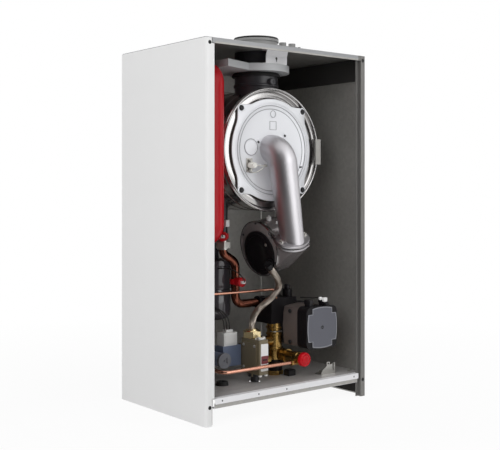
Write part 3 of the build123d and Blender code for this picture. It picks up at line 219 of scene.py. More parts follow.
class Graph:
    """Node tree of either kind, with short ways to add and join its nodes."""

    def __init__(self, tree: Tree) -> None:
        """Keeps the tree that the nodes go into."""
        self.tree = tree

    @classmethod
    def group(cls, name: str, kind: str, inputs: dict[str, str], outputs: dict[str, str]) -> "Graph":
        """Makes a node group with named sockets.

        Args:
            name: name of the group.
            kind: "GeometryNodeTree" or "ShaderNodeTree".
            inputs: socket types by input name.
            outputs: socket types by output name.

        Returns:
            The graph, with its group input and output in place.
        """
        graph = cls(bpy.data.node_groups.new(name, kind))
        for way, sockets in (("INPUT", inputs), ("OUTPUT", outputs)):
            for label, socket in sockets.items():
                graph.tree.interface.new_socket(label, in_out=way, socket_type="NodeSocket" + socket)
        graph.ins = graph.outs("NodeGroupInput")
        graph.end = graph.add("NodeGroupOutput")
        return graph

    @classmethod
    def mesh_group(cls, name: str, inputs: dict[str, str]) -> "Graph":
        """Makes a geometry group that takes geometry, the inputs named and a material, and gives geometry."""
        return cls.group(name, "GeometryNodeTree", {"Geometry": "Geometry", **inputs, "Finish": "Material"},
                         {"Geometry": "Geometry"})

    def fill(self, node: bpy.types.Node, values: dict) -> bpy.types.Node:
        """Sets inputs of a node, by name or number, to plain values, or joins them to other nodes' results."""
        for label, value in values.items():
            value = value.socket if isinstance(value, Value) else value
            if isinstance(value, Socket):
                self.tree.links.new(value, node.inputs[label])
            else:
                node.inputs[label].default_value = value
        return node

    def add(self, kind: str, values: dict | None = None, **settings) -> bpy.types.Node:
        """Adds a node.

        Args:
            kind: type name of the node.
            values: what goes into its inputs, as fill takes it.
            settings: properties of the node.

        Returns:
            The new node.
        """
        node = self.tree.nodes.new(kind)
        for label, value in settings.items():
            setattr(node, label, value)
        return self.fill(node, values or {})

    def out(self, kind: str, values: dict | None = None, output: int | str = 0, **settings) -> Value:
        """Adds a node as add does and gives one of its results, by number or name."""
        return Value(self, self.add(kind, values, **settings).outputs[output])

    def outs(self, kind: str, values: dict | None = None, **settings) -> dict[str, Value]:
        """Adds a node as add does and gives its results by name."""
        return {socket.name: Value(self, socket) for socket in self.add(kind, values, **settings).outputs}

    def maths(self, operation: str, first, second=0.0, clamp: bool = False) -> Value:
        """Works out one operation on numbers."""
        return self.out("ShaderNodeMath", {0: first, 1: second}, operation=operation, use_clamp=clamp)

    def vector(self, operation: str, first, second) -> Value:
        """Works out one operation on vectors, where "SCALE" takes a number second."""
        label = "Scale" if operation == "SCALE" else 1
        return self.out("ShaderNodeVectorMath", {0: first, label: second}, operation=operation)

    def mix(self, share, first, second) -> Value:
        """Mixes two colours."""
        return self.out("ShaderNodeMix", {"Factor": share, 6: first, 7: second}, 2, data_type="RGBA")

    def place(self) -> Value:
        """Gives the shaded point in its object's own coordinates."""
        return self.out("ShaderNodeTexCoord", output="Object")

    def close(self, results: dict[str, Value]) -> Tree:
        """Joins the results to the outputs of a group and gives its tree."""
        self.fill(self.end, results)
        return self.tree

    def close_mesh(self, mesh: Value) -> Tree:
        """Ends a geometry group with real geometry in its material and gives its tree."""
        real = self.out("GeometryNodeRealizeInstances", {"Geometry": mesh})
        return self.close({"Geometry": self.out("GeometryNodeSetMaterial",
                                                {"Geometry": real, "Material": self.ins["Finish"]})})


class Finishes:
    """Makes the materials, each from its finish and the shared shader groups."""

    def __init__(self) -> None:
        """Builds the shader groups and one material for each finish."""
        self.grain = self._grain_group()
        self.spangle = self._spangle_group()
        self.skin = self._skin_group()
        self.materials = {finish.name: self._material(finish) for finish in FINISHES}

    def __getitem__(self, name: str) -> bpy.types.Material:
        """Gives the material of a finish."""
        return self.materials[name]

    @staticmethod
    def _tint(g: Graph, swing: Value, gain: float) -> Value:
        """Lets a group's colour swing in brightness, by its spread times the gain."""
        return g.out("ShaderNodeHueSaturation", {"Value": swing * g.ins["Spread"] * gain + 1.0,
                                                 "Color": g.ins["Colour"]})

    @classmethod
    def _grain_group(cls) -> Tree:
        """Builds the group for colour drift, dust and fine relief.

        Returns:
            The shader group.
        """
        g = Graph.group(
            "fine_grain", "ShaderNodeTree",
            {"Colour": "Color", "Spread": "Float", "Roughness": "Float", "Scale": "Float", "Stretch": "Vector",
             "Relief": "Float", "Dust": "Float"},
            {"Colour": "Color", "Roughness": "Float", "Normal": "Vector"})
        place = g.place()
        drawn = g.vector("MULTIPLY", place, g.ins["Stretch"])
        fine = g.out("ShaderNodeTexNoise", {"Vector": drawn, "Scale": g.ins["Scale"], "Detail": 3.0})
        drift = g.out("ShaderNodeTexNoise", {"Vector": place, "Scale": 14.0, "Detail": 4.0, "Roughness": 0.6})
        both = fine * 0.4 + drift * 0.6
        swing = both - 0.5
        up = g.out("ShaderNodeSeparateXYZ", {0: g.out("ShaderNodeNewGeometry", output="Normal")}, "Z")
        flat = g.maths("MULTIPLY", up - 0.6, 2.5, clamp=True)
        patches = g.maths("MULTIPLY", both - 0.42, 5.0, clamp=True)
        dust = flat * patches * g.ins["Dust"]
        rough = g.maths("ADD", g.ins["Roughness"] + swing * 0.22, dust * 0.4, clamp=True)
        bump = g.out("ShaderNodeBump", {"Height": fine, "Distance": g.ins["Relief"], "Strength": 1.0})
        return g.close({"Colour": g.mix(dust, cls._tint(g, swing, 3.0), DUST_COLOUR), "Roughness": rough,
                        "Normal": bump})

    @classmethod
    def _spangle_group(cls) -> Tree:
        """Builds the group for the crystal flakes of a zinc coat.

        Returns:
            The shader group.
        """
        g = Graph.group("zinc_flakes", "ShaderNodeTree",
                        {"Colour": "Color", "Spread": "Float", "Roughness": "Float", "Scale": "Float"},
                        {"Colour": "Color", "Roughness": "Float"})
        place = g.place()
        flakes = g.out("ShaderNodeTexVoronoi", {"Vector": place, "Scale": g.ins["Scale"], "Randomness": 1.0}, "Color")
        cell = g.out("ShaderNodeSeparateXYZ", {0: flakes})
        cloud = g.out("ShaderNodeTexNoise", {"Vector": place, "Scale": 9.0, "Detail": 3.0})
        swing = cell * 0.45 + cloud * 0.55 - 0.5
        rough = g.maths("ADD", g.ins["Roughness"], swing * 0.2, clamp=True)
        return g.close({"Colour": cls._tint(g, swing, 2.0), "Roughness": rough})

    @staticmethod
    def _skin_group() -> Tree:
        """Builds the masks that tell a casing sheet's painted outside from its bare inside.

        Returns:
            The shader group: Outside is 1 on painted faces, Hem is 1 on the flange at the right front, whose zinc gets
                painted shade.
        """
        g = Graph.group("outer_skin", "ShaderNodeTree", dict.fromkeys(SHEET, "Float"),
                        {"Outside": "Float", "Hem": "Float"})
        half_width, half_depth, height, corner, half_sheet, front_skin, bare_from, lip, hem = (
            g.ins[label] for label in SHEET)
        x, y, z = g.outs("ShaderNodeSeparateXYZ", {0: g.place()}).values()
        over = [g.maths("ABSOLUTE", x) - (half_width - corner), g.maths("ABSOLUTE", y) - (half_depth - corner)]
        square = [g.maths("POWER", g.maths("MAXIMUM", side, 0.0), 2.0) for side in over]
        within = g.maths("MINIMUM", g.maths("MAXIMUM", *over), 0.0)
        side = g.maths("SQRT", square[0] + square[1]) + within - corner + half_sheet > 0.0
        roof = z - height + half_sheet > 0.0
        fore = y + (half_depth - front_skin) < 0.0
        right = x > bare_from
        folded = (x < half_width - front_skin) * right
        under = (z < height - lip) * (g.maths("ABSOLUTE", x) < bare_from)
        bare = fore * g.maths("MAXIMUM", folded, under)
        painted = g.maths("MAXIMUM", side, roof) * (1.0 - bare)
        return g.close({"Outside": painted, "Hem": (y < hem - half_depth) * right})

    @staticmethod
    def _common(finish: Finish) -> dict:
        """Gives what both surface groups take from a finish."""
        return {"Colour": (*finish.colour, 1.0), "Spread": finish.spread, "Roughness": finish.roughness,
                "Scale": 1.0 / (finish.size * MM)}

    def _sheet(self, g: Graph, paint: dict[str, Value]) -> dict[str, Value]:
        """Paints a casing sheet outside and leaves its zinc bare inside, with painted shade darkening the zinc of the
        right front flange's hem.

        Args:
            g: graph of the material.
            paint: the paint's results, by name.

        Returns:
            What goes into the shader, by input name.
        """
        zinc = next(finish for finish in FINISHES if finish.name == SHEET_ZINC)
        bare = g.outs("ShaderNodeGroup", self._common(zinc), node_tree=self.spangle)
        sizes = {label: size * MM for label, size in SHEET.items()}
        outside, hem = g.outs("ShaderNodeGroup", sizes, node_tree=self.skin).values()
        rough = g.out("ShaderNodeMix", {"Factor": outside, 2: bare["Roughness"], 3: paint["Roughness"]})
        # Painted shade darkens the bare zinc on the right front hem.
        colour = g.mix(outside, g.mix(hem, bare["Colour"], HEM_PAINTED_SHADE), paint["Colour"])
        return {"Base Color": colour, "Roughness": rough, "Metallic": (1.0 - outside) * zinc.metallic}

    def _material(self, finish: Finish) -> bpy.types.Material:
        """Builds the material of one finish.

        Args:
            finish: the finish.

        Returns:
            The material.
        """
        material, g = new_material(finish.name)
        material.diffuse_color = (*finish.colour, 1.0)
        fine = g.outs("ShaderNodeGroup", {**self._common(finish), "Stretch": finish.stretch, "Dust": finish.dust,
                                          "Relief": finish.relief * MM}, node_tree=self.grain)
        values = {"Metallic": finish.metallic, "Coat Weight": finish.coat, "Coat Roughness": COAT_ROUGHNESS,
                  "Specular IOR Level": finish.specular, "Normal": fine["Normal"]}
        if finish.grain is Grain.SHEET:
            values |= self._sheet(g, fine)
        else:
            seen = fine
            if finish.grain is Grain.SPANGLE:
                seen = g.outs("ShaderNodeGroup", self._common(finish), node_tree=self.spangle)
            values |= {"Base Color": seen["Colour"], "Roughness": seen["Roughness"]}
        g.fill(g.tree.nodes["Principled BSDF"], values)
        return material


def new_material(name: str) -> tuple[bpy.types.Material, Graph]:
    """Makes a material and gives it with its graph."""
    material = bpy.data.materials.new(name)
    material.use_nodes = True
    return material, Graph(material.node_tree)


FINISH = Finishes()


def frame_at(origin: Point, z_dir: Point = UP, x_dir: Point | None = None) -> Matrix:
    """Gives the placing of a local frame, from millimetres to metres.

    Args:
        origin: where the local origin lies.
        z_dir: direction of the local Z axis.
        x_dir: rough direction of the local X axis.

    Returns:
        The matrix from local millimetres to the boiler's metres.
    """
    z = Vector(z_dir).normalized()
    guess = Vector(x_dir if x_dir is not None else UP if abs(z.x) > 0.9 else RIGHT)
    x = (guess - z * guess.dot(z)).normalized()
    turn = Matrix((x, z.cross(x), z)).transposed().to_4x4()
    return Matrix.Scale(MM, 4) @ Matrix.Translation(origin) @ turn


HERE = frame_at((0, 0, 0))


def show(name: str, data: bpy.types.ID) -> Piece:
    """Puts a mesh, lamp or camera into the scene as a new object."""
    made = bpy.data.objects.new(name, data)
    bpy.context.scene.collection.objects.link(made)
    return made


def settle(piece: Piece, body: str = BOILER, stands_for: tuple[str, ...] = ()) -> Piece:
    """Sets a finished piece on its body, hides the CAD nodes it replaces and reports it.

    Args:
        piece: the piece.
        body: the CAD body that it rides on.
        stands_for: CAD nodes that it replaces.

    Returns:
        The piece.
    """
    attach(piece, body)
    if stands_for:
        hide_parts(*stands_for)
    LOG.info("%s on %s, %d faces", piece.name, body, len(piece.data.polygons))
    return piece


def smooth(mesh: bpy.types.Mesh, angle: float) -> None:
    """Shades a mesh smoothly but for the edges sharper than the angle."""
    mesh.polygons.foreach_set("use_smooth", [True] * len(mesh.polygons))
    mesh.set_sharp_from_angle(angle=radians(angle))


def ring_outline(radius: float, sides: int, turn: float = 0.0) -> Outline:
    """Corners of a regular outline, the first one turned from the X axis by the angle in degrees."""
    angles = [radians(turn) + 2 * pi * i / sides for i in range(sides)]
    return [(radius * cos(angle), radius * sin(angle)) for angle in angles]


def rounded_outline(width: float, height: float, corner: float, steps: int = 6) -> Outline:
    """Outline of a rectangle with rounded corners, about the origin."""
    outline = []
    for quarter, (sx, sy) in enumerate(((1, 1), (-1, 1), (-1, -1), (1, -1))):
        for step in range(steps + 1):
            angle = pi / 2 * (quarter + step / steps)
            outline.append((sx * (width / 2 - corner) + corner * cos(angle),
                            sy * (height / 2 - corner) + corner * sin(angle)))
    return outline


def four_corners(x: float, y: float, z: float, half: float) -> list[Point]:
    """Corners of an upright square about a point."""
    return [(x + sx * half, y, z + sz * half) for sx in (-1, 1) for sz in (-1, 1)]


class Bench:
    """Mesh under construction, whose shapes go in as millimetres."""

    def __init__(self) -> None:
        """Starts an empty mesh."""
        self.mesh = bmesh.new()

    def _bridge(self, low: list, high: list) -> None:
        """Joins two rings of vertices, either of which may be a single point."""
        count = max(len(low), len(high))
        for i in range(count):
            j = (i + 1) % count
            corners = (low[i % len(low)], low[j % len(low)], high[j % len(high)], high[i % len(high)])
            unique = list(dict.fromkeys(corners))
            if len(unique) > 2:
                self.mesh.faces.new(unique)

    def skin(self, levels: list[tuple[Outline, float]], at: Matrix, closed: bool = False) -> "Bench":
        """Joins outlines, each at its own height, into one skin.

        Args:
            levels: the outlines with their heights, from one end to the other.
            at: placing of the local Z axis.
            closed: True to join the last outline to the first.

        Returns:
            The bench.
        """
        rings = [[self.mesh.verts.new(at @ Vector((x, y, height))) for x, y in outline] for outline, height in levels]
        for low, high in zip(rings, rings[1:] + (rings[:1] if closed else [])):
            self._bridge(low, high)
        return self

    def turned(self, profile: Outline, at: Matrix, steps: int = 64, flutes: int = 0, flute: float = 0.0) -> "Bench":
        """Adds a body turned about the local Z axis.

        Args:
            profile: radius and height of each point, from one end on the axis to the other, or a closed loop.
            at: placing of the axis.
            steps: number of sides.
            flutes: number of flutes round the body.
            flute: depth of the flutes as a share of the radius.

        Returns:
            The bench.
        """
        angles = [2 * pi * i / steps for i in range(steps)]
        shares = [(1 - flute * max(0.0, cos(flutes * angle)) ** 2) if flutes else 1 for angle in angles]
        levels = [([(radius * share * cos(angle), radius * share * sin(angle))
                    for angle, share in zip(angles, shares)] if radius > NO_RADIUS else [(0.0, 0.0)], height)
                  for radius, height in profile]
        return self.skin(levels, at, closed=min(profile[0][0], profile[-1][0]) > NO_RADIUS)

    def bar(self, outline: Outline, low: float, high: float, at: Matrix, taper: float = 1.0) -> "Bench":
        """Adds a bar of the given outline between two heights, the upper end scaled by the taper."""
        base = [self.mesh.verts.new(at @ Vector((x, y, low))) for x, y in outline]
        top = [self.mesh.verts.new(at @ Vector((x * taper, y * taper, high))) for x, y in outline]
        self._bridge(base, top)
        self.mesh.faces.new(list(reversed(base)))
        self.mesh.faces.new(top)
        return self

    def block(self, x: tuple[float, float], y: tuple[float, float], z: tuple[float, float]) -> "Bench":
        """Adds a block between the limits given for each axis."""
        outline = [(x[0], y[0]), (x[1], y[0]), (x[1], y[1]), (x[0], y[1])]
        return self.bar(outline, z[0], z[1], Matrix.Scale(MM, 4))

    def band(self, outline: Outline, inner: float, low: float, high: float, at: Matrix) -> "Bench":
        """Adds a raised band between an outline and the same outline drawn in by a share."""
        drawn = [(x * inner, y * inner) for x, y in outline]
        return self.skin([(outline, low), (outline, high), (drawn, high), (drawn, low)], at, closed=True)

    def object(self, name: str) -> Piece:
        """Turns the mesh into an object that is in the scene but rides on nothing yet."""
        bmesh.ops.recalc_face_normals(self.mesh, faces=self.mesh.faces)
        data = bpy.data.meshes.new(name)
        self.mesh.to_mesh(data)
        self.mesh.free()
        return show(name, data)

    def piece(self, name: str, finish: str, body: str = BOILER, bevel: float = 0.0, angle: float = 36.0,
              stands_for: tuple[str, ...] = ()) -> Piece:
        """Finishes the mesh as a piece.

        Args:
            name: name of the piece.
            finish: name of its finish.
            body: the CAD body that it rides on.
            bevel: width of the rounding on its sharp edges, in millimetres.
            angle: edges sharper than this stay sharp.
            stands_for: CAD nodes that it replaces.

        Returns:
            The piece.
        """
        made = self.object(name)
        smooth(made.data, angle)
        made.data.materials.append(FINISH[finish])
        if bevel:
            edge = made.modifiers.new("rounding", "BEVEL")
            edge.width = bevel * MM
            edge.segments = 2
            edge.limit_method = "ANGLE"
            edge.angle_limit = radians(BEVEL_FROM)
        return settle(made, body, stands_for)


class Shop:
    """Geometry Nodes trees for pipes, braids and repeated small pieces."""

    def __init__(self) -> None:
        """Builds the trees."""
        self.pipe = self._pipe_tree()
        self.braid = self._braid_tree()
        self.repeat = self._repeat_tree()

    @staticmethod
    def _sweep(g: Graph, line: Value | Socket, sides: Value | int, radius: Value, caps: bool) -> Tree:
        """Ends a tree with a round section drawn along its line."""
        ring = g.out("GeometryNodeCurvePrimitiveCircle", {"Resolution": sides, "Radius": radius})
        return g.close_mesh(g.out("GeometryNodeCurveToMesh", {"Curve": line, "Profile Curve": ring,
                                                              "Fill Caps": caps}))

    @classmethod
    def _pipe_tree(cls) -> Tree:
        """Builds the tree for a pipe along a line, whose point radii are the bends.

        Returns:
            The geometry tree.
        """
        g = Graph.mesh_group("pipe_run", {"Radius": "Float", "Sides": "Int", "Bend Steps": "Int"})
        line = g.out("GeometryNodeFilletCurve", {"Curve": g.ins["Geometry"], "Count": g.ins["Bend Steps"],
                                                 "Radius": g.out("GeometryNodeInputRadius"), "Limit Radius": True},
                     mode="POLY")
        line = g.out("GeometryNodeSetCurveRadius", {"Curve": line, "Radius": 1.0})
        return cls._sweep(g, line, g.ins["Sides"], g.ins["Radius"], True)

    @classmethod
    def _braid_tree(cls) -> Tree:
        """Builds the tree for a braid of flat strands that wind both ways round a line.

        Returns:
            The geometry tree.
        """
        g = Graph.mesh_group("braided_sleeve", {"Radius": "Float", "Strands": "Int", "Turns": "Float",
                                                "Strand Radius": "Float", "Steps": "Int"})
        line = g.out("GeometryNodeResampleCurve", {"Curve": g.ins["Geometry"], "Count": g.ins["Steps"]})
        line = g.out("GeometryNodeSetCurveRadius", {"Curve": line, "Radius": 1.0})
        both = g.add("GeometryNodeJoinGeometry")
        for way in (1.0, -1.0):
            strands, number = g.outs("GeometryNodeDuplicateElements",
                                     {"Geometry": line, "Amount": g.ins["Strands"]}, domain="SPLINE").values()
            along = g.out("GeometryNodeSplineParameter", output="Factor")
            angle = (along * g.ins["Turns"] * way + number / g.ins["Strands"]) * (2 * pi)
            normal = g.out("GeometryNodeInputNormal")
            cross = g.vector("CROSS_PRODUCT", g.out("GeometryNodeInputTangent"), normal)
            shift = g.vector("ADD", *(g.vector("SCALE", axis, g.maths(wave, angle) * g.ins["Radius"])
                                      for axis, wave in ((normal, "COSINE"), (cross, "SINE"))))
            g.fill(both, {0: g.out("GeometryNodeSetPosition", {"Geometry": strands, "Offset": shift})})
        return cls._sweep(g, both.outputs[0], 4, g.ins["Strand Radius"], False)

    @staticmethod
    def _repeat_tree() -> Tree:
        """Builds the tree that sets one small piece at every point, each turned at random on its axis.

        Returns:
            The geometry tree.
        """
        g = Graph.mesh_group("repeated_piece", {"Piece": "Object", "Twist": "Float", "Seed": "Int"})
        way = g.out("GeometryNodeInputNamedAttribute", {"Name": "way"}, data_type="FLOAT_VECTOR")
        aligned = g.out("FunctionNodeAlignRotationToVector", {"Vector": way}, axis="Z")
        most = g.out("ShaderNodeCombineXYZ", {"Z": g.ins["Twist"]})
        spin = g.out("FunctionNodeRandomValue", {1: most, "Seed": g.ins["Seed"]}, data_type="FLOAT_VECTOR")
        turn = g.out("FunctionNodeEulerToRotation", {0: spin})
        spun = g.out("FunctionNodeRotateRotation", {"Rotation": aligned, "Rotate By": turn}, rotation_space="LOCAL")
        part = g.out("GeometryNodeObjectInfo", {"Object": g.ins["Piece"]}, "Geometry")
        return g.close_mesh(g.out("GeometryNodeInstanceOnPoints", {"Points": g.ins["Geometry"], "Instance": part,
                                                                   "Rotation": spun}))

    @staticmethod
    def _run(source: Piece, tree: Tree, values: dict) -> Piece:
        """Runs a tree on an object and gives the result as a plain mesh object.

        Args:
            source: object that the tree starts from; it is removed.
            tree: the geometry tree.
            values: its inputs, by name.

        Returns:
            The mesh object, in the scene.
        """
        work = source.modifiers.new("work", "NODES")
        work.node_group = tree
        for item in tree.interface.items_tree:
            if item.item_type == "SOCKET" and item.in_out == "INPUT" and item.name in values:
                work[item.identifier] = values[item.name]
        bpy.context.scene.collection.objects.link(source)
        graph = bpy.context.evaluated_depsgraph_get()
        data = bpy.data.meshes.new_from_object(source.evaluated_get(graph), depsgraph=graph)
        source.modifiers.remove(work)
        name = source.name
        bpy.data.objects.remove(source)
        return show(name, data)

    @staticmethod
    def _line(name: str, points: list[Point], bends: list[float], soft: bool) -> Piece:
        """Makes a line through points, or a smooth line drawn by them where it is soft."""
        curve = bpy.data.curves.new(name, "CURVE")
        curve.dimensions = "3D"
        curve.resolution_u = BEND_STEPS
        spline = curve.splines.new("NURBS" if soft else "POLY")
        spline.points.add(len(points) - 1)
        for point, place, bend in zip(spline.points, points, bends):
            point.co = (*(Vector(place) * MM), 1.0)
            point.radius = bend * MM
        if soft:
            spline.order_u = 3
            spline.use_endpoint_u = True
        return bpy.data.objects.new(name, curve)

    def tube(self, name: str, points: list[Point], radius: float, finish: str, bend: float | list[float] = 12.0,
             sides: int = 32, soft: bool = False, stands_for: tuple[str, ...] = ()) -> Piece:
        """Makes a pipe or wire along a line.

        Args:
            name: name of the piece.
            points: the corners of the line.
            radius: radius of the pipe.
            finish: name of its finish.
            bend: bend radius, one for all corners or one each.
            sides: sides of the round section.
            soft: True for a wire or hose, whose line is drawn smoothly.
            stands_for: CAD nodes that it replaces.

        Returns:
            The piece.
        """
        corners = len(points) - 2
        bends = [0.0, *(bend if isinstance(bend, list) else [bend] * corners), 0.0]
        if soft:
            bends = [0.0] * len(points)
        made = self._run(self._line(name, points, bends, soft), self.pipe,
                         {"Radius": radius * MM, "Sides": sides, "Bend Steps": BEND_STEPS, "Finish": FINISH[finish]})
        smooth(made.data, 50.0)
        return settle(made, stands_for=stands_for)

    def wire(self, name: str, points: list[Point], radius: float) -> Piece:
        """Makes a black wire along a smooth line."""
        return self.tube(name, points, radius, "wire_black", soft=True, sides=10)

    def sleeve(self, name: str, points: list[Point], radius: float, strand: float, finish: str) -> Piece:
        """Makes the braid of a hose along its smooth line."""
        turns = sum((Vector(b) - Vector(a)).length for a, b in zip(points, points[1:])) / (BRAID_LAY * radius)
        made = self._run(self._line(name, points, [1.0] * len(points), True), self.braid,
                         {"Radius": radius * MM, "Strands": STRANDS, "Turns": turns,
                          "Strand Radius": strand * MM, "Steps": STRAND_STEPS, "Finish": FINISH[finish]})
        smooth(made.data, 60.0)
        return settle(made)

    def repeated(self, name: str, part: Bench, spots: list[Point], way: Point, finish: str,
                 stands_for: tuple[str, ...] = ()) -> Piece:
        """Sets copies of one small piece at many spots, each turned on its axis at random.

        Args:
            name: name of the piece.
            part: the small piece, standing on the origin.
            spots: where the copies stand.
            way: where their Z axes point.
            finish: name of the finish.
            stands_for: CAD nodes that it replaces.

        Returns:
            The piece.
        """
        master = part.object(name + "_one")
        smooth(master.data, 30.0)
        data = bpy.data.meshes.new(name)
        data.from_pydata([Vector(spot) * MM for spot in spots], [], [])
        data.attributes.new("way", "FLOAT_VECTOR", "POINT").data.foreach_set("vector", tuple(way) * len(spots))
        made = self._run(bpy.data.objects.new(name, data), self.repeat,
                         {"Piece": master, "Twist": 2 * pi, "Seed": TWIST_SEED, "Finish": FINISH[finish]})
        bpy.data.objects.remove(master)
        smooth(made.data, 30.0)
        return settle(made, stands_for=stands_for)


SHOP = Shop()


def hex_screw(flats: float, height: float) -> Bench:
    """Hexagon screw head on a round flange, with a dished top."""
    head = Bench().turned([(0, 0), (flats * 0.66, 0), (flats * 0.66, height * 0.14), (flats * 0.5, height * 0.28),
                           (0, height * 0.28)], HERE, 32)
    head.bar(ring_outline(flats / sqrt(3), 6), height * 0.2, height * 0.86, HERE)
    return head.turned([(0, height * 0.86), (flats * 0.49, height * 0.86), (flats * 0.42, height),
                        (flats * 0.3, height), (flats * 0.24, height * 0.88), (0, height * 0.88)], HERE, 32)


def pan_screw(radius: float, height: float) -> Bench:
    """Round screw head with a recess in the middle."""
    return Bench().turned([(0, 0), (radius, 0), (radius, height * 0.4), (radius * 0.82, height * 0.85),
                           (radius * 0.42, height), (radius * 0.3, height * 0.72), (0, height * 0.5)], HERE, 28)


@dataclass
class Casing:
    """Sheet-metal casing: its foam, bumpers and screws, and the trim along its front."""

    front: float = -HALF_DEPTH
    rail_holes: tuple[float, ...] = (-183.5, -89.5, -13.5, 186.5)

    def build(self) -> None:
        """Makes the pieces of the casing."""
        self.foam()
        self.trim()
        self.fixings()
        self.tray()

    def foam(self) -> None:
        """Lays the dark foam strips along the right side, at its top and foot, and along the back."""
        side, depth, top = (HALF_WIDTH - 3.6, HALF_WIDTH - 1.1), (-139.0, 153.0), (712.0, HEIGHT - 3.0)
        strips = Bench().block(side, depth, top).block((60.0, HALF_WIDTH - 3.4), (151.6, 154.6), top)
        strips.block(side, depth, (3.0, 36.0)).piece("foam_strips", "foam", bevel=0.8)

    def trim(self) -> None:
        """Adds the rail's foot, with the shadow line over it, and the lip of the left flange."""
        rail = (-199.0, 199.0)
        # Painted shadow: a black strip stands in for the shade in the step over the rail's foot.
        Bench().block(rail, (-156.6, -153.4), (41.3, 42.4)).piece("rail_shadow_line", "black_rubber")
        Bench().block(rail, (-154.3, -153.3), (33.4, 41.3)).piece("rail_foot", "roof_paint")
        Bench().block((-209.6, -203.2), (self.front, self.front + 1.2), (54.0, HEIGHT - 12.0)).piece(
            "flange_lip", "white_paint", bevel=0.4)

    def fixings(self) -> None:
        """Sets the screws of the rail and the cover's round rubber bumpers in the four corners."""
        SHOP.repeated("rail_screws", pan_screw(2.2, 0.9), [(x, self.front + 1.0, 47.2) for x in self.rail_holes],
                      FRONT, "black_steel")
        bumper = Bench().turned([(0, 0), (4.0, 0), (4.0, 3.444), (3.4, 4.592), (2.2, 5.002), (0, 5.084)], HERE, 28)
        spots = [(side * (HALF_WIDTH - 10.5), self.front + 5.2, z) for side in (-1, 1) for z in (37.5, 755.5)]
        SHOP.repeated("cover_bumpers", bumper, spots, FRONT, "black_rubber")

    def tray(self) -> None:
        """Presses the shallow beads into the tray and sets its fixing screws."""
        beads = Bench()
        for y, length in ((-96.0, 40), (-20.0, 70)):
            beads.bar([(0.0, -0.4), (2.4, -0.1), (0.0, 0.7), (-2.4, -0.1)], 0, length,
                      frame_at((-190, y, 52.0), RIGHT, BACK))
        beads.piece("tray_beads", "tray_paint")
        spots = [(x, y, 52.0) for x, y in ((-208, -120), (-208, 100), (208, -120), (208, 100), (150, -88))]
        SHOP.repeated("tray_screws", hex_screw(7.0, 3.6), spots, UP, "zinc_steel")


PIPE_FOOT: Point = (28.9, -127.5, 355.3)
FAN_CENTRE: Point = (32.0, -43.0, 340.3)
FAN_TILT = radians(12.0)
OUTLET_TILT = radians(30.0)


def joint_axes() -> tuple[Vector, Vector]:
    """Gives the normal of the joint between fan and pipe, and the direction along its flange."""
    normal = Vector((-sin(FAN_TILT) * cos(OUTLET_TILT), -sin(OUTLET_TILT), cos(FAN_TILT) * cos(OUTLET_TILT)))
    return normal, Vector((cos(FAN_TILT), 0.0, sin(FAN_TILT)))


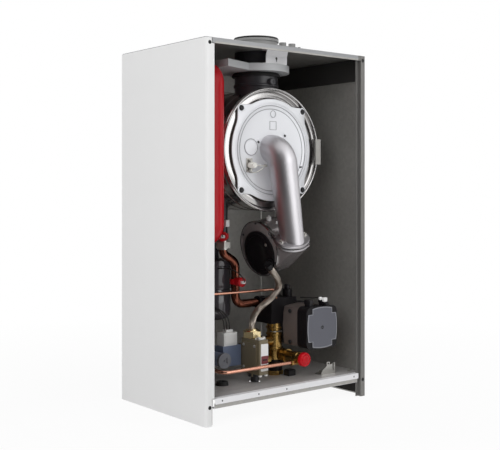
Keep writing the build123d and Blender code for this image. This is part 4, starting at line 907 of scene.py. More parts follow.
@dataclass
class Exchanger:
    """Heat exchanger front: its polished ring, the cast door and what is screwed to it."""

    z: float = 551.0
    seat: float = -82.0
    front: float = -95.0
    face: float = -91.0
    door_radius: float = 111.0
    door_opening: float = 102.0
    ear: float = 95.0
    ear_corner: float = 13.0
    ear_blend: float = 5.0
    screw_offset: float = 86.5
    mouth: float = 27.0
    boss_spots: tuple[tuple[float, float], ...] = ((-37, 567), (38, 583))

    def build(self) -> None:
        """Makes the pieces of the heat exchanger."""
        self.ring()
        self.door()
        self.door_edge()
        self.door_grooves()
        self.bosses()
        self.screws()
        self.flanges()
        self.electrode()
        self.drum()

    def ring(self) -> None:
        """Rolls the bright front ring with its two beads, and the step inside it."""
        at = frame_at((0, 0, self.z), FRONT)
        profile = [(126.4, 74.6), (131.6, 74.6), (131.6, 83.6), (132.6, 84.6), (133.6, 86.4), (133.9, 88.2),
                   (133.2, 89.8), (131.9, 90.4), (131.2, 91.6), (131.9, 92.8), (133.2, 93.4), (133.9, 95.0),
                   (133.6, 96.6), (132.6, 97.4), (131.4, 97.5), (130.3, 96.9), (129.8, 95.4), (129.6, 92.0),
                   (129.2, 88.6), (128.2, 88.0), (127.0, 87.6), (126.6, 86.0), (126.4, 80.0)]
        step = [(112.0, 80.0), (112.0, 87.6), (112.6, 88.5), (113.8, 88.8), (119.0, 88.0), (124.4, 86.9),
                (126.2, 86.2), (127.2, 85.0), (127.2, 80.0)]
        Bench().turned(profile, at, 180).piece("polished_ring", "polished_steel", angle=50,
                                               stands_for=("exchanger_front_ring",))
        Bench().turned(step, at, 180).piece("ring_fillet", "polished_steel", angle=50)

    def _door_outline(self, inset: float) -> Outline:
        """Outline of the door, a disc whose four ears run into it with a hollow curve."""
        outline = []
        radius = self.door_radius - inset
        half = self.ear - inset
        inner = half - self.ear_corner
        for i in range(360):
            angle = radians(i)
            c, s = abs(cos(angle)), abs(sin(angle))
            square = half / max(c, s)
            if min(c, s) * square > inner:
                b = inner * (c + s)
                square = b + sqrt(max(0.0, b * b - (2 * inner * inner - self.ear_corner ** 2)))
            gap = square - radius
            reach = radius + 0.5 * (gap + sqrt(gap * gap + self.ear_blend ** 2)) - 0.15 * self.ear_blend
            outline.append((reach * cos(angle), reach * sin(angle)))
        return outline

    def door(self) -> None:
        """Casts the burner door: the eared plate, its ridges, its dished middle and the rim behind it."""
        at = frame_at((0, self.seat, self.z), FRONT)
        thick = self.seat - self.front
        dish = self.seat - self.face
        opening = ring_outline(self.door_opening, 360)
        sides = [(self._door_outline(inset), height) for inset, height in (
            (2.0, -0.4), (0.0, 1.0), (0.0, thick - 1.8), (0.6, thick - 0.6), (1.8, thick))]
        door = Bench().skin([(opening, -0.4), *sides, (opening, thick)], at)
        door.turned([(102.0, -0.4), (102.0, thick - 0.4), (101.4, thick), (100.0, thick), (99.2, thick - 1.2),
                     (98.0, thick - 1.2), (97.2, thick - 0.1), (95.8, thick - 0.1), (95.0, thick - 1.2),
                     (93.6, thick - 1.4), (92.0, dish + 2.1), (88.0, dish + 1.5), (78.0, dish + 0.7),
                     (60.0, dish + 0.1), (38.0, dish), (self.mouth, dish), (self.mouth, -0.4)], at, 180)
        door.turned([(96.0, -5.9), (104.9, -5.9), (104.9, 0.2), (96.0, 0.2)], at, 120)
        door.piece("cast_door", "cast_aluminium", angle=28, stands_for=("burner_door",))

    def door_edge(self) -> None:
        """Lays a thin near-black skin over the door's edge, as painted shade on its side wall."""
        thick = self.seat - self.front
        levels = [(self._door_outline(inset), height) for inset, height in (
            (1.2, -0.3), (-0.12, 1.0), (-0.12, thick - 2.0), (0.1, thick - 1.6))]
        edge = Bench().skin(levels, frame_at((0, self.seat, self.z), FRONT), closed=True)
        edge.piece("door_edge", "edge_casting", angle=28)

    def door_grooves(self) -> None:
        """Adds the sight ring, the slot and the ridge lines cast in the door, darker in colour as painted shade."""
        at = frame_at((0, self.seat, self.z), FRONT)
        sight = frame_at((-57, self.face + 0.4, self.z + 5), FRONT)
        Bench().turned([(0, 0), (17.0, 0), (17.6, 0.9), (17.2, 1.5), (16.2, 1.7), (15.2, 1.4), (14.8, 0.9), (0, 0.9)],
                       sight, 72).piece("sight_ring", "cast_aluminium", angle=50)
        slot = frame_at((84.6, self.face - 2.2, 515), FRONT)
        Bench().bar(rounded_outline(8.4, 3.4, 1.2), 0, 0.5, slot).piece("door_slot", "black_steel")
        grooves = Bench()
        for radius, rise in ((96.0, self.seat - self.front - 0.3), (88.5, self.seat - self.face + 1.7)):
            grooves.turned([(radius - 0.9, rise - 1), (radius - 0.9, rise + 0.1), (radius, rise + 0.6),
                            (radius + 0.9, rise + 0.1), (radius + 0.9, rise - 1)], at, 180)
        grooves.turned([(16.6, 0), (16.6, 2.0), (17.3, 2.4), (18.2, 2.0), (18.2, 0)], sight, 72)
        circle = frame_at((4.4, self.face - 1.3, 629.0), FRONT)
        grooves.turned([(6.6, 0), (6.6, 0.5), (7.3, 0.8), (8.0, 0.5), (8.0, 0)], circle, 48)
        square = frame_at((5.0, self.face + 0.1, 604.0), FRONT)
        grooves.band([(-9.5, -9.5), (9.5, -9.5), (9.5, 9.5), (-9.5, 9.5)], 0.88, 0.0, 0.8, square)
        grooves.piece("door_grooves", "groove_casting", angle=50)

    def bosses(self) -> None:
        """Adds the two small bosses with their screws, and the pads under the door's screws."""
        bosses = Bench()
        for x, z in self.boss_spots:
            bosses.turned([(0, 0), (5.4, 0), (4.6, 1.5), (0, 1.5)], frame_at((x, self.face + 0.3, z), FRONT), 36)
        bosses.piece("door_bosses", "cast_aluminium")
        SHOP.repeated("door_small_screws", pan_screw(2.8, 1.8), [(x, self.face - 1.1, z) for x, z in self.boss_spots],
                      FRONT, "black_steel")
        pads = Bench()
        for spot in four_corners(0, self.front + 0.4, self.z, self.screw_offset):
            pads.turned([(0, 0), (9.2, 0), (8.6, 1.6), (6.4, 1.9), (6.0, 0.6), (0, 0.6)], frame_at(spot, FRONT), 40)
        pads.piece("ear_pads", "cast_aluminium", angle=40)

    def screws(self) -> None:
        """Sets the four screws of the door and the two bolts of the pipe flange."""
        SHOP.repeated("door_screws", hex_screw(9.0, 4.6),
                      four_corners(0, self.front - 0.2, self.z, self.screw_offset), FRONT, "black_steel",
                      stands_for=("exchanger_screws",))
        normal, along = joint_axes()
        foot = Vector(PIPE_FOOT) + normal * 6.0
        SHOP.repeated("flange_bolts", hex_screw(8.6, 4.6), [foot + along * (side * 34.0) for side in (-1, 1)],
                      normal, "zinc_steel")

    def flanges(self) -> None:
        """Casts the two rough grey flanges of the joint over the plain ones."""
        at = frame_at(PIPE_FOOT, *joint_axes())
        for name, low, high, width, reach, inner in (("upper_flange", 0.35, 6.25, 42.0, 30.9, 0.6),
                                                     ("lower_flange", -6.3, -1.7, 41.6, 33.4, 0.72)):
            outline = [(width * x, reach * y) for x, y in ring_outline(1.0, 120)]
            Bench().band(outline, inner, low, high, at).piece(name, "flange_casting", bevel=1.2, angle=40)

    def electrode(self) -> None:
        """Adds the ignition electrode's collar, its ball tip and the strap that holds it."""
        x, y, z = -62.0, self.face, self.z - 34.0
        ribs = Bench()
        for step in range(4):
            ribs.turned([(5.3, 0), (6.6, 0.9), (6.6, 2.0), (5.3, 2.9)], frame_at((x, y - 4.0 - 3.6 * step, z), FRONT),
                        36)
        ribs.piece("insulator_ribs", "ceramic", angle=50)
        SHOP.repeated("electrode_nuts", hex_screw(5.6, 3.4), [(x, y - 4.9, z + 10), (x, y - 4.9, z - 10)], FRONT,
                      "zinc_steel")
        Bench().turned([(0, -3.0), (1.6, -2.6), (2.7, -1.4), (3.1, 0), (2.7, 1.4), (1.6, 2.6), (0, 3.0)],
                       frame_at((-34.0, -112.0, z - 1.0)), 28).piece("terminal_ball", "ceramic", angle=80)
        strap = [(x - 8, y - 3, z - 12), (x - 6, y - 10, z - 16), (x + 8, y - 16, z - 15), (x + 20, y - 19, z - 8),
                 (-36, y - 21, z - 2)]
        SHOP.tube("electrode_strap", strap, 1.3, "zinc_steel", soft=True, sides=12)

    def drum(self) -> None:
        """Adds the rolled beads of the drum."""
        beads = Bench()
        for depth in (-108.0, -64.0, -20.0, 24.0, 52.0):
            beads.turned([(130.6, depth - 4), (131.8, depth - 2.4), (132.3, depth), (131.8, depth + 2.4),
                          (130.6, depth + 4)], frame_at((0, 0, self.z), FRONT), 120)
        beads.piece("drum_beads", "stainless", angle=60)


@dataclass
class FanUnit:
    """Fan: the bright rim of its cover, the black mixer and the plugs on it."""

    half: float = 26.0
    mixer_drop: float = 9.0
    mixer_turn: float = degrees(0.2)
    cover_turn: float = degrees(0.5)

    def build(self) -> None:
        """Makes the pieces of the fan."""
        axis = Vector((cos(FAN_TILT), 0.0, sin(FAN_TILT)))
        centre = Vector(FAN_CENTRE) - axis * self.half
        drop = Vector((-sin(FAN_TILT), 0.0, cos(FAN_TILT))) * self.mixer_drop
        self.mixer(centre - drop, -axis)
        self.cover(frame_at(centre, -axis, FRONT), -axis)

    def mixer(self, mouth: Vector, outward: Vector) -> None:
        """Moulds the mixer's round face with its ribs and screw."""
        at = frame_at(mouth, outward, FRONT)
        Bench().turned([(0, 0.4), (49.2, 0.4), (49.2, 3.6), (47.2, 4.6), (44.0, 4.8), (43.0, 3.9), (38.0, 3.9),
                        (37.2, 4.9), (21.0, 5.2), (20.0, 4.4), (0, 4.4)], at, 96).piece(
            "mixer_face", "black_plastic", angle=40)
        ribs = Bench()
        for x, y in ring_outline(1.0, 10, self.mixer_turn):
            x_dir = (at.to_3x3() @ Vector((x, y, 0))).normalized()
            ribs.bar(rounded_outline(9.0, 1.8, 0.6, 3), 3.6, 4.8, frame_at(mouth + x_dir * 40.6, outward, x_dir))
        ribs.piece("mixer_ribs", "black_plastic")
        SHOP.repeated("mixer_screw", pan_screw(3.6, 2.2), [at @ Vector((30.0, 20.0, 4.6)) / MM], outward,
                      "zinc_steel")

    def cover(self, at: Matrix, outward: Vector) -> None:
        """Adds the cover's screws, the motor's two plugs and the bright rim."""
        spots = [at @ Vector((x, y, 0.0)) / MM for x, y in ring_outline(57.0, 6, self.cover_turn)]
        SHOP.repeated("fan_screws", pan_screw(2.8, 2.0), spots, outward, "black_steel")
        plugs = Bench()
        for spot in ((20.0, -60.0, 401.0), (31.0, -75.0, 388.5)):
            place = frame_at(spot, (-0.2, -0.1, 1.0))
            plugs.bar(rounded_outline(9.0, 7.0, 1.5), -9.0, 4.5, place)
            plugs.bar(rounded_outline(4.0, 3.0, 0.8), 4.5, 7.5, place)
        plugs.piece("fan_terminals", "white_plastic", bevel=0.6)
        Bench().turned([(60.4, 1.4), (60.4, 2.5), (61.0, 3.0), (62.2, 3.0), (62.8, 2.4), (62.8, -5.6), (62.3, -6.2),
                        (60.4, -6.2)], at, 120).piece("fan_rim", "polished_steel", angle=40)


HOSE: list[Point] = [(-6.5, -94.5, 296.0), (8.0, -94.0, 281.5), (19.5, -93.0, 266.5), (22.5, -91.0, 252.0),
                     (14.0, -87.5, 237.5), (0.0, -81.5, 224.5), (-16.5, -74.0, 210.5), (-28.5, -66.0, 193.5),
                     (-30.0, -62.0, 175.0), (-30.0, -61.5, 156.0)]


@dataclass
class GasLine:
    """Gas valve and the braided hose that feeds the fan."""

    x: tuple[float, float] = (-43.0, -17.0)
    y: tuple[float, float] = (-102.5, -40.0)
    z: tuple[float, float] = (70.0, 144.0)
    nut: tuple[float, float] = (-30.0, -61.5)

    def build(self) -> None:
        """Makes the pieces of the gas line."""
        self.hose()
        self.brass_nut()
        self.plates()
        self.valve()
        self.coil()

    def hose(self) -> None:
        """Braids the hose and crimps a ferrule on each end."""
        SHOP.tube("hose_core", HOSE, 6.5, "braid", soft=True, sides=40, stands_for=("gas_hose",))
        SHOP.sleeve("hose_braid", HOSE, 6.55, 0.34, "braid")
        Bench().turned([(0, 0), (7.4, 0), (7.4, 3), (6.8, 4.2), (0, 4.2)], frame_at((*self.nut, 160.0)), 40).piece(
            "lower_ferrule", "braid")
        first = Vector(HOSE[0])
        way = (Vector(HOSE[1]) - first).normalized()
        Bench().turned([(0, 0), (7.4, 0), (7.4, 4.6), (6.6, 5.8), (0, 5.8)], frame_at(first - way * 3, way), 40).piece(
            "upper_ferrule", "black_plastic")

    def brass_nut(self) -> None:
        """Machines the union nut, chamfered at both ends."""
        at = frame_at((*self.nut, self.z[1]))
        nut = Bench().bar(ring_outline(20.6, 6), 2.0, 15.0, at)
        nut.turned([(0, 0.3), (17.6, 0.3), (19.0, 2.0), (0, 2.0)], at, 60)
        nut.turned([(0, 15.0), (18.6, 15.0), (17.0, 17.0), (13.0, 17.2), (12.6, 19.6), (0, 19.8)], at, 60)
        nut.piece("union_nut", "bright_brass", bevel=0.4, angle=20, stands_for=("hose_nut",))

    def plates(self) -> None:
        """Adds the bare plates on the valve's front."""
        x, front = sum(self.x) / 2 + 1, self.y[0]
        for name, finish, outline, low, high, z, bevel in (
                ("front_plate", "white_plastic", rounded_outline(20.0, 58.0, 2.0), 0.0, 1.2, 107, 0.3),
                ("plate_inset", "plate_red", rounded_outline(19.0, 17.0, 1.5), 1.2, 1.5, 102, 0.0),
                ("inset_window", "black_plastic", rounded_outline(12.0, 3.0, 1.0), 1.5, 1.7, 102, 0.0)):
            Bench().bar(outline, low, high, frame_at((x, front, z), FRONT)).piece(name, finish, bevel=bevel)

    def valve(self) -> None:
        """Adds the valve's screws, pressure points, shroud, union, feet and ribs."""
        left, right = self.x
        front, back = self.y
        low, high = self.z
        SHOP.repeated("valve_screws", pan_screw(3.4, 2.2),
                      [(left - 2.5, y, z) for y in (front + 13, back - 13) for z in (83, 131)], LEFT, "zinc_steel")
        SHOP.repeated("valve_points", hex_screw(8.0, 6.0), [(x, front + 10, high) for x in (-37.5, -23)], UP,
                      "zinc_steel")
        Bench().bar(rounded_outline(22.0, 12.0, 3.0), 0, 4.0, frame_at((-30, front + 12, high - 0.5))).piece(
            "top_shroud", "white_plastic", bevel=0.8)
        Bench().bar(ring_outline(17.2, 6), -0.5, 6.5, frame_at((-30, (front + back) / 2, 64))).piece(
            "valve_union", "black_steel", bevel=0.8)
        feet = Bench()
        for x in (left + 5.0, right - 5.0):
            feet.bar(rounded_outline(6.0, 5.0, 1.0), 0.0, 4.5, frame_at((x, front + 3.0, low - 4.0)))
        feet.piece("valve_feet", "white_plastic", bevel=0.5)
        ribs = Bench()
        for z in range(86, 131, 9):
            ribs.bar([(-front - 12, z), (-back + 12, z), (-back + 12, z + 2.2), (-front - 12, z + 2.2)], 2.0, 3.2,
                     frame_at((left + 2.0, 0, 0), LEFT, FRONT))
        ribs.piece("valve_ribs", "valve_paint", bevel=0.3)

    def coil(self) -> None:
        """Adds the coil's lid, its fins, the white connector and its wires."""
        Bench().block((-90, -46), (-32.6, -31.0), (88, 124)).piece("coil_lid", "coil_plastic", bevel=0.8)
        fins = Bench()
        for x in range(-84, -42, 7):
            fins.block((x, x + 3), (-33.4, -31.0), (92, 120))
        fins.piece("coil_fins", "coil_plastic", bevel=0.3)
        Bench().block((-86, -54), (-39.2, -37.4), (132, 152)).piece("plug_face", "white_plastic", bevel=0.8)
        for step, x in enumerate((-78, -71, -64)):
            SHOP.wire(f"plug_wire_{step}", [(x, -26, 160), (x, -26, 176), (x - 6, -22, 196), (x - 22, -6, 208),
                                            (x - 30, 40, 214)], 1.3)


@dataclass
class WaterLine:
    """Copper pipes, brass block, relief valve, trap and their fittings."""

    return_x: float = -75.0
    return_y: float = -17.5
    block_top: float = 224.0

    def build(self) -> None:
        """Makes the pieces of the water side."""
        self.pipes()
        self.fittings()
        self.sensors()
        self.manifold()
        self.relief()
        self.vent()

    def pipes(self) -> None:
        """Bends the copper pipes."""
        x, y = -178.75, -57.5
        SHOP.tube("vessel_tube", [(x, y, 328), (x, y, 246), (42, y, 244), (42, y, self.block_top)], 3.0, "copper",
                  stands_for=("vessel_pipe",))
        x, y = self.return_x, self.return_y
        # The return pipe's darker copper is painted shade.
        SHOP.tube("return_tube", [(x, y, 446), (x, y, 326), (-41, y, 306), (-41, y, 213), (27, y, 213)], 9.5,
                  "aged_copper", bend=[16.0, 22.0, 20.0], sides=48, stands_for=("return_pipe",))
        SHOP.tube("return_upper", [(x, y, 446), (x, y, 352.4)], 9.9, "black_steel", sides=48)
        SHOP.tube("discharge_tube", [(40, -117.5, 91), (-152, -117.5, 91), (-152, -40, 97), (-152, -40, 12)], 4.0,
                  "copper", bend=[18.0, 14.0], stands_for=("discharge_pipe",))

    def fittings(self) -> None:
        """Adds the pipe's connector, the trap's bowl and the collars of the unions."""
        Bench().block((-80, -70), (-35, -27), (385, 400)).piece("pipe_connector", "white_plastic", bevel=1.0)
        Bench().turned([(0, 176), (18, 176), (28, 180), (34, 188), (35.6, 198), (35.8, 240), (33.0, 246), (0, 246)],
                       frame_at((-58.0, 35.0, 0)), 96).piece("trap_bowl", "trap_plastic", angle=40)
        rings = Bench()
        for spot in ((self.return_x, self.return_y, 338), (-60, 85, 334)):
            at = frame_at(spot)
            rings.turned([(9.4, -3), (12.5, -3), (12.5, 0), (9.4, 0)], at, 40)
            rings.turned([(9.4, 14), (12.5, 14), (11.5, 17), (9.4, 17)], at, 40)
        rings.piece("union_collars", "zinc_steel", angle=40)

    def sensors(self) -> None:
        """Adds the round faces, plugs and wires of the two red sensor clips."""
        for index, (x, z, turn) in enumerate(((self.return_x, 364.5, radians(38.0)), (-41.0, 263.5, 0.0))):
            way = Vector((-sin(turn), -cos(turn), 0.0))
            start = Vector((x, self.return_y, z)) + way * 22
            at = frame_at(start, way)
            Bench().turned([(0, -0.6), (10.2, -0.6), (10.6, 0.4), (10.6, 2.2), (9.4, 3.2), (7.0, 3.2), (6.4, 2.2),
                            (0, 2.2)], at, 48).piece(f"sensor_head_{index}", "red_plastic", angle=40)
            Bench().bar(rounded_outline(8.4, 6.0, 1.0), 2.0, 9.0, at).piece(
                f"sensor_plug_{index}", "white_plastic", bevel=0.4)
            tip = start + way * 9
            turns = (way * -3, way * 6, Vector((-8, 4, 20)), Vector((-26, 34, 34)), Vector((-40, 70, 24)))
            SHOP.wire(f"sensor_wire_{index}", [tip + turn for turn in turns], 1.2)

    def manifold(self) -> None:
        """Adds nuts, bosses, a clip and the small wing knob to the brass block."""
        x, y = 52.0, -41.0
        at = frame_at((x, y, 0))
        rings = Bench()
        for z in (112.0, 144.0, 158.0):
            rings.turned([(16.6, z - 2.2), (18.6, z - 2.2), (19.4, z - 1.2), (19.4, z + 1.2), (18.6, z + 2.2),
                          (16.6, z + 2.2)], at, 64)
        rings.piece("block_rings", "brass", angle=40)
        nut = Bench().bar(ring_outline(20.0, 6, 15), 52.6, 62.0, at)
        nut.turned([(0, 62), (17.5, 62), (17.5, 64), (0, 64)], at, 48).piece("block_nut", "brass", bevel=0.8)
        Bench().turned([(0, 62), (17.6, 62), (18.4, 63), (18.4, 86), (17.6, 87), (0, 87)], at, 64).piece(
            "block_sleeve", "black_plastic", angle=40)
        Bench().turned([(0, -0.5), (12.6, -0.5), (12.6, 3.0), (11.4, 4.6), (6.0, 5.2), (5.4, 8.4), (0, 9.0)],
                       frame_at((x - 44, y, 128), LEFT), 48).piece("block_cap", "brass", angle=40)
        knob: Point = (22, y, 100)
        wing = Bench().bar([(-10, -2.2), (-4, -3.4), (0, -3.0), (4, -3.4), (10, -2.2), (10, 2.2), (4, 3.4), (0, 3.0),
                            (-4, 3.4), (-10, 2.2)], 0, 3.4, frame_at(knob, FRONT, (0.8, 0, 0.6)))
        wing.turned([(0, 0), (4.4, 0), (4.4, 5.0), (3.6, 6.0), (0, 6.0)], frame_at(knob, FRONT), 28)
        wing.turned([(0, -14), (3.0, -14), (3.0, 0), (0, 0)], frame_at(knob, FRONT), 24)
        wing.piece("fill_wing", "brass", bevel=0.7)
        SHOP.tube("block_clip", [(34.0, -48, 150), (34.0, -60.0, 150), (70.0, -60.0, 150), (70.0, -48, 150)], 1.3,
                  "zinc_steel", bend=7.0, sides=12)

    def relief(self) -> None:
        """Dresses the relief valve and gives its knob a fluted rim and a dished face."""
        x, z = 58.0, 97.0
        knob = Bench().turned([(0, 0.2), (14.4, 0.2), (15.4, 1.2), (15.4, 8.6), (14.6, 10.4), (13.2, 11.4),
                               (11.8, 11.6), (10.6, 10.4), (9.6, 10.2), (8.8, 11.2), (6.0, 11.8), (0, 11.9)],
                              frame_at((x, -127.6, z), FRONT), 120, 20, 0.035)
        knob.piece("fluted_knob", "red_plastic", "relief_knob_body", angle=50, stands_for=("relief_knob",))
        at = frame_at((x, -77.0, z), FRONT)
        body = Bench().turned([(10.8, 0), (14.6, 0), (15.6, 1.0), (15.6, 3.2), (10.8, 3.2)], at, 60)
        body.turned([(12.8, 30), (14.6, 31), (14.6, 40), (13.4, 41.4), (12.8, 41.4)], at, 60)
        body.piece("relief_rings", "brass", angle=40)
        Bench().bar(ring_outline(7.6, 6), 0, 8, frame_at((40.5, -117.5, 91), LEFT)).piece(
            "relief_nut", "brass", bevel=0.5)

    def vent(self) -> None:
        """Adds the fluted grip of the air vent's cap."""
        at = frame_at((93.0, -37.5, self.block_top + 16.4))
        Bench().turned([(5.8, 1.0), (6.9, 1.4), (6.9, 8.0), (5.8, 9.0)], at, 72, 12, 0.07).piece(
            "vent_grip", "black_plastic", "air_vent_cap_body", angle=50)


@dataclass
class Pump:
    """Circulating pump: faceplate, plugs, screws and casting details."""

    x: float = 107.0
    z: float = 163.0
    box_front: float = -137.5
    stator_front: float = -107.5
    volute_front: float = -60.5

    def build(self) -> None:
        """Makes the pieces of the pump."""
        self.faceplate()
        self.box()
        self.stator()

    @staticmethod
    def _plate_outline(width: float, height: float, notch: float, bow: float, steps: int = 12) -> Outline:
        """Outline of the plate: bowed sides and stepped corners."""
        outline = []
        for quarter in range(4):
            reach, half = (width / 2, height / 2) if quarter % 2 == 0 else (height / 2, width / 2)
            turn = Matrix.Rotation(pi / 2 * quarter, 2)
            along = [-1 + 2 * step / steps for step in range(steps + 1)]
            points = [(reach - bow * t * t, (half - notch) * t) for t in along]
            outline += [tuple(turn @ Vector(point)) for point in (*points, (reach - notch, half - notch))]
        return outline

    def faceplate(self) -> None:
        """Makes the grey faceplate with its raised pale border and the ring round its screw."""
        at = frame_at((self.x, self.box_front, self.z), FRONT)
        outline = self._plate_outline(88, 90, 15, 3)
        Bench().bar(outline, 0.05, 1.5, at, 0.992).piece("plate_panel", "plate_grey", stands_for=("pump_faceplate",))
        Bench().band(outline, 0.955, 0.6, 1.95, at).piece("plate_border", "border_grey", bevel=0.25)
        Bench().turned([(4.4, 1.2), (6.0, 1.2), (6.0, 1.7), (4.4, 1.7)], at, 40).piece("screw_ring", "plate_grey")

    def box(self) -> None:
        """Moulds the control box's lid, its two connector towers and the white plug with its wires."""
        lid = frame_at((self.x, self.stator_front, self.z), FRONT)
        Bench().band(rounded_outline(92.8, 92.8, 14.4), 0.955, 12.0, 14.4, lid).piece("lid_seam", "black_plastic")
        towers = Bench()
        for side in (-24, 18):
            towers.turned([(9.0, 0), (10.4, 0), (10.4, 7.0), (9.6, 8.2), (0, 8.2)],
                          frame_at((self.x + side, self.stator_front - 13, self.z + 52)), 48, 14, 0.04)
        towers.piece("connector_towers", "black_plastic", angle=40)
        x, y, z = self.x + 16, self.stator_front - 24, self.z
        Bench().turned([(0, 45), (6.4, 45), (7.2, 46), (7.2, 52), (6.0, 53.4), (0, 53.4)],
                       frame_at((x, y, z)), 36, 8, 0.05).piece("plug_base", "black_plastic", angle=40)
        plug = Bench().block((x - 7, x + 3), (y - 4, y + 4), (z + 54, z + 64))
        plug.block((x - 13, x - 6), (y + 3, y + 9), (z + 58, z + 65)).piece("white_plug", "white_plastic", bevel=1.6)
        for step in range(3):
            start = x - 3.5 + 2.5 * step
            path = ((0, 2, 60), (1, 8, 63), (4, 22, 62), (10, 50, 57), (16, 96, 54))
            SHOP.wire(f"pump_wire_{step}", [(start + right, y + back, z + up) for right, back, up in path], 1.2)

    def stator(self) -> None:
        """Sets the screws of the stator and the rim of the volute."""
        SHOP.repeated("stator_screws", pan_screw(4.2, 3.0), four_corners(self.x, self.stator_front + 2, self.z, 38),
                      FRONT, "black_steel")
        SHOP.repeated("stator_side_screws", pan_screw(4.6, 2.6),
                      [(self.x - 46.6, -84.0, self.z + height) for height in (-34, 34)], LEFT, "black_steel")
        Bench().turned([(48.0, -4), (51.4, -4), (51.4, 3), (48.0, 3)],
                       frame_at((self.x, self.volute_front + 2, self.z), FRONT), 96).piece(
            "volute_rim", "black_plastic")


@dataclass
class Flue:
    """Flue parts: details on the duct and on the adapter on the roof."""

    y: float = -39.5

    def build(self) -> None:
        """Makes the pieces of the flue."""
        at = frame_at((0, self.y, 0))
        Bench().turned([(47.3, 688), (49.4, 689), (50.2, 692), (49.4, 695), (47.3, 696)], at, 96).piece(
            "duct_bead", "duct_plastic", angle=60)
        Bench().turned([(47.6, 712), (53.0, 712), (53.0, 716), (50.0, 719.6), (47.6, 719.6)], at, 96).piece(
            "duct_lip", "black_rubber", angle=40)
        ring = Bench()
        for z in (774.5, 781.0):
            ring.turned([(47.2, z - 1), (48.3, z - 0.6), (48.3, z + 0.6), (47.2, z + 1)], at, 96)
        ring.piece("collar_lines", "adapter_plastic", angle=60)
        Bench().turned([(47.6, 788.8), (49.9, 788.8), (49.9, 793.8), (49.2, 794.4), (47.6, 794.4)], at, 96).piece(
            "seal_skirt", "adapter_plastic", angle=40)
        Bench().turned([(0, 0), (7.9, 0), (7.9, 2.4), (6.8, 3.4), (3.0, 3.6), (2.4, 2.6), (0, 2.6)],
                       frame_at((0, self.y - 55.0, 699), FRONT), 40).piece("duct_plug", "duct_plastic", angle=40)


@dataclass
class Vessel:
    """Expansion vessel: its rolled seam and filling valve."""

    x: float = -178.7
    y: tuple[float, float] = (-118.0, 90.0)
    z: tuple[float, float] = (350.0, 730.0)
    corner: float = 45.0
    seam: float = 1.5

    def build(self) -> None:
        """Makes the pieces of the vessel."""
        at = frame_at((self.x, sum(self.y) / 2, sum(self.z) / 2), RIGHT, BACK)
        outline = rounded_outline(self.y[1] - self.y[0] + 2 * self.seam, self.z[1] - self.z[0] + 2 * self.seam,
                                  self.corner + self.seam, 12)
        Bench().band(outline, 0.97, -2.2, 2.2, at).piece("vessel_seam", "vessel_red", bevel=0.9)
        Bench().turned([(0, -2), (7.0, -2), (7.0, 4), (4.6, 6), (4.6, 12), (3.4, 13.4), (0, 13.4)],
                       frame_at((self.x, -28.0, self.z[1])), 36).piece("filling_valve", "black_plastic", angle=40)


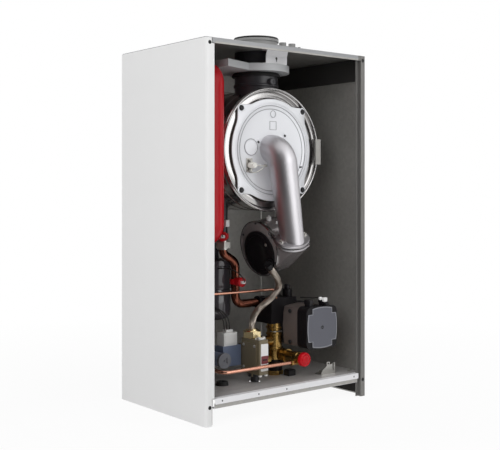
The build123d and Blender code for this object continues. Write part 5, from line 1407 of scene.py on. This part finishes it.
@dataclass
class Studio:
    """Floor, light and camera."""

    camera_at: Point = (-1286.9, -1600.1, 470.4)
    yaw: float = 38.6
    lens: float = 65.95
    picture: tuple[float, float] = (500.0, 450.0)
    sight: tuple[float, float] = (241.49, 187.28)
    sky: float = 0.42
    white_share: float = 0.93
    fade_from: float = 0.45
    fade_rate: float = 1.1

    def build(self) -> None:
        """Sets up the studio."""
        self.floor()
        self.cards()
        self.world()
        self.lights()
        self.camera()

    @staticmethod
    def _seen(g: Graph) -> Value:
        """Gives 1 for rays from the camera, from a glossy surface or through glass."""
        path = g.outs("ShaderNodeLightPath")
        seen = g.maths("MAXIMUM", path["Is Camera Ray"], path["Is Glossy Ray"])
        return g.maths("MAXIMUM", seen, path["Is Transmission Ray"])

    def floor(self) -> None:
        """Lays the pale floor, which keeps the shadow of the boiler and fades to white away from it."""
        data = bpy.data.meshes.new("floor")
        data.from_pydata([(-6, -6, 0), (6, -6, 0), (6, 6, 0), (-6, 6, 0)], [], [(0, 1, 2, 3)])
        floor = show("floor", data)
        material, g = new_material("pale_floor")
        shader = g.fill(g.tree.nodes["Principled BSDF"], {"Base Color": (0.86, 0.86, 0.86, 1.0), "Roughness": 0.7})
        white = g.out("ShaderNodeEmission", {"Color": WHITE, "Strength": 1.0})
        spread = g.out("ShaderNodeVectorMath", {0: g.place()}, "Value", operation="LENGTH")
        away = g.maths("MULTIPLY", spread - self.fade_from, self.fade_rate, clamp=True)
        share = self._seen(g) * (away * (1.0 - self.white_share) + self.white_share)
        mixed = g.out("ShaderNodeMixShader", {0: share, 1: shader.outputs[0], 2: white})
        g.fill(g.tree.nodes["Material Output"], {"Surface": mixed})
        data.materials.append(material)

    def world(self) -> None:
        """Gives the world a soft grey light and a white background."""
        world = bpy.data.worlds.new("studio")
        world.use_nodes = True
        bpy.context.scene.world = world
        g = Graph(world.node_tree)
        soft = g.fill(g.tree.nodes["Background"], {"Color": WHITE, "Strength": self.sky})
        white = g.out("ShaderNodeBackground", {"Color": WHITE, "Strength": 1.0})
        mixed = g.out("ShaderNodeMixShader", {0: self._seen(g), 1: soft.outputs[0], 2: white})
        g.fill(g.tree.nodes["World Output"], {"Surface": mixed})

    def cards(self) -> None:
        """Stands a dark, a grey and a bright card round the boiler, which only bright metal can see.

        Each is a bent wall between two compass angles. Its rows give radius and height, and the dark and grey ones
        also lie on the floor, so that metal doesn't see its white.
        """
        steps = 12
        for name, start, end, rows, shade, glow in (
                ("dark_card", -215.0, -100.0, ((2.7, 2.6), (2.7, 0.004), (0.5, 0.004)), 0.02, 0.0),
                ("grey_card", -50.5, -40.0, ((2.7, 1.6), (2.7, 0.004), (0.6, 0.004)), 0.14, 0.0),
                ("bright_card", -98.0, -54.0, ((2.7, 2.2), (2.7, 0.1)), 0.8, 1.65)):
            data = bpy.data.meshes.new(name)
            turns = [radians(start + (end - start) * step / steps) for step in range(steps + 1)]
            points = [(reach * cos(turn), reach * sin(turn), z) for reach, z in rows for turn in turns]
            count = len(turns)
            faces = [(i, i + 1, i + 1 + count, i + count) for i in range(count * (len(rows) - 1)) if (i + 1) % count]
            data.from_pydata(points, [], faces)
            card = show(name, data)
            material, g = new_material(name + "_paint")
            g.fill(g.tree.nodes["Principled BSDF"], {"Base Color": (shade, shade, shade, 1.0), "Roughness": 0.9,
                                                     "Emission Color": WHITE, "Emission Strength": glow})
            data.materials.append(material)
            card.visible_camera = card.visible_diffuse = card.visible_shadow = False

    def lights(self) -> None:
        """Hangs the three soft boxes."""
        for name, place, aim, size, power in (
                ("key", (-2.4, -1.4, 1.5), (-0.2, 0.0, 0.4), 1.6, 35.0),
                ("front", (1.5, -2.3, 1.6), (0.0, 0.0, 0.4), 1.2, 13.0),
                ("above", (0.3, -0.4, 2.8), (0.0, 0.0, 0.7), 1.4, 12.0)):
            lamp = bpy.data.lights.new(name, "AREA")
            lamp.shape = "SQUARE"
            lamp.size = size
            lamp.energy = power
            hung = show(name, lamp)
            hung.location = place
            hung.rotation_euler = (Vector(aim) - Vector(place)).to_track_quat("-Z", "Y").to_euler()
            hung.visible_glossy = False

    def camera(self) -> None:
        """Stands the camera where the photograph was taken from, upright and with its lens shifted."""
        width, height = self.picture
        camera = bpy.data.cameras.new("camera")
        camera.lens = self.lens
        camera.sensor_width = 36.0
        camera.shift_x = (width / 2 - self.sight[0]) / width
        camera.shift_y = (self.sight[1] - height / 2) / width
        stand = show("camera", camera)
        stand.location = Vector(self.camera_at) * MM
        stand.rotation_euler = (pi / 2, 0.0, -radians(self.yaw))
        bpy.context.scene.camera = stand


def dress_nodes() -> None:
    """Gives every CAD node the material of its slot, or the finish that its surface really has."""
    for entry in frame["record"]["subparts"]:
        node = entry["node"]
        material = FINISH[NODE_FINISH.get(node, entry["material_slot"])]
        piece = frame["nodes"][node]
        if not piece.material_slots:
            piece.data.materials.append(material)
        for slot in piece.material_slots:
            slot.material = material
    LOG.info("dressed %d nodes of the model", len(frame["nodes"]))


def main() -> None:
    """Builds the visual boiler group by group."""
    logging.basicConfig(level=logging.INFO, format="%(message)s")
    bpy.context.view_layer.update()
    bpy.context.scene.view_settings.view_transform = "Standard"
    dress_nodes()
    for group in (Studio(), Casing(), Exchanger(), FanUnit(), GasLine(), WaterLine(), Pump(), Flue(), Vessel()):
        LOG.info("%s", type(group).__name__)
        group.build()


if __name__ == "__main__":
    main()
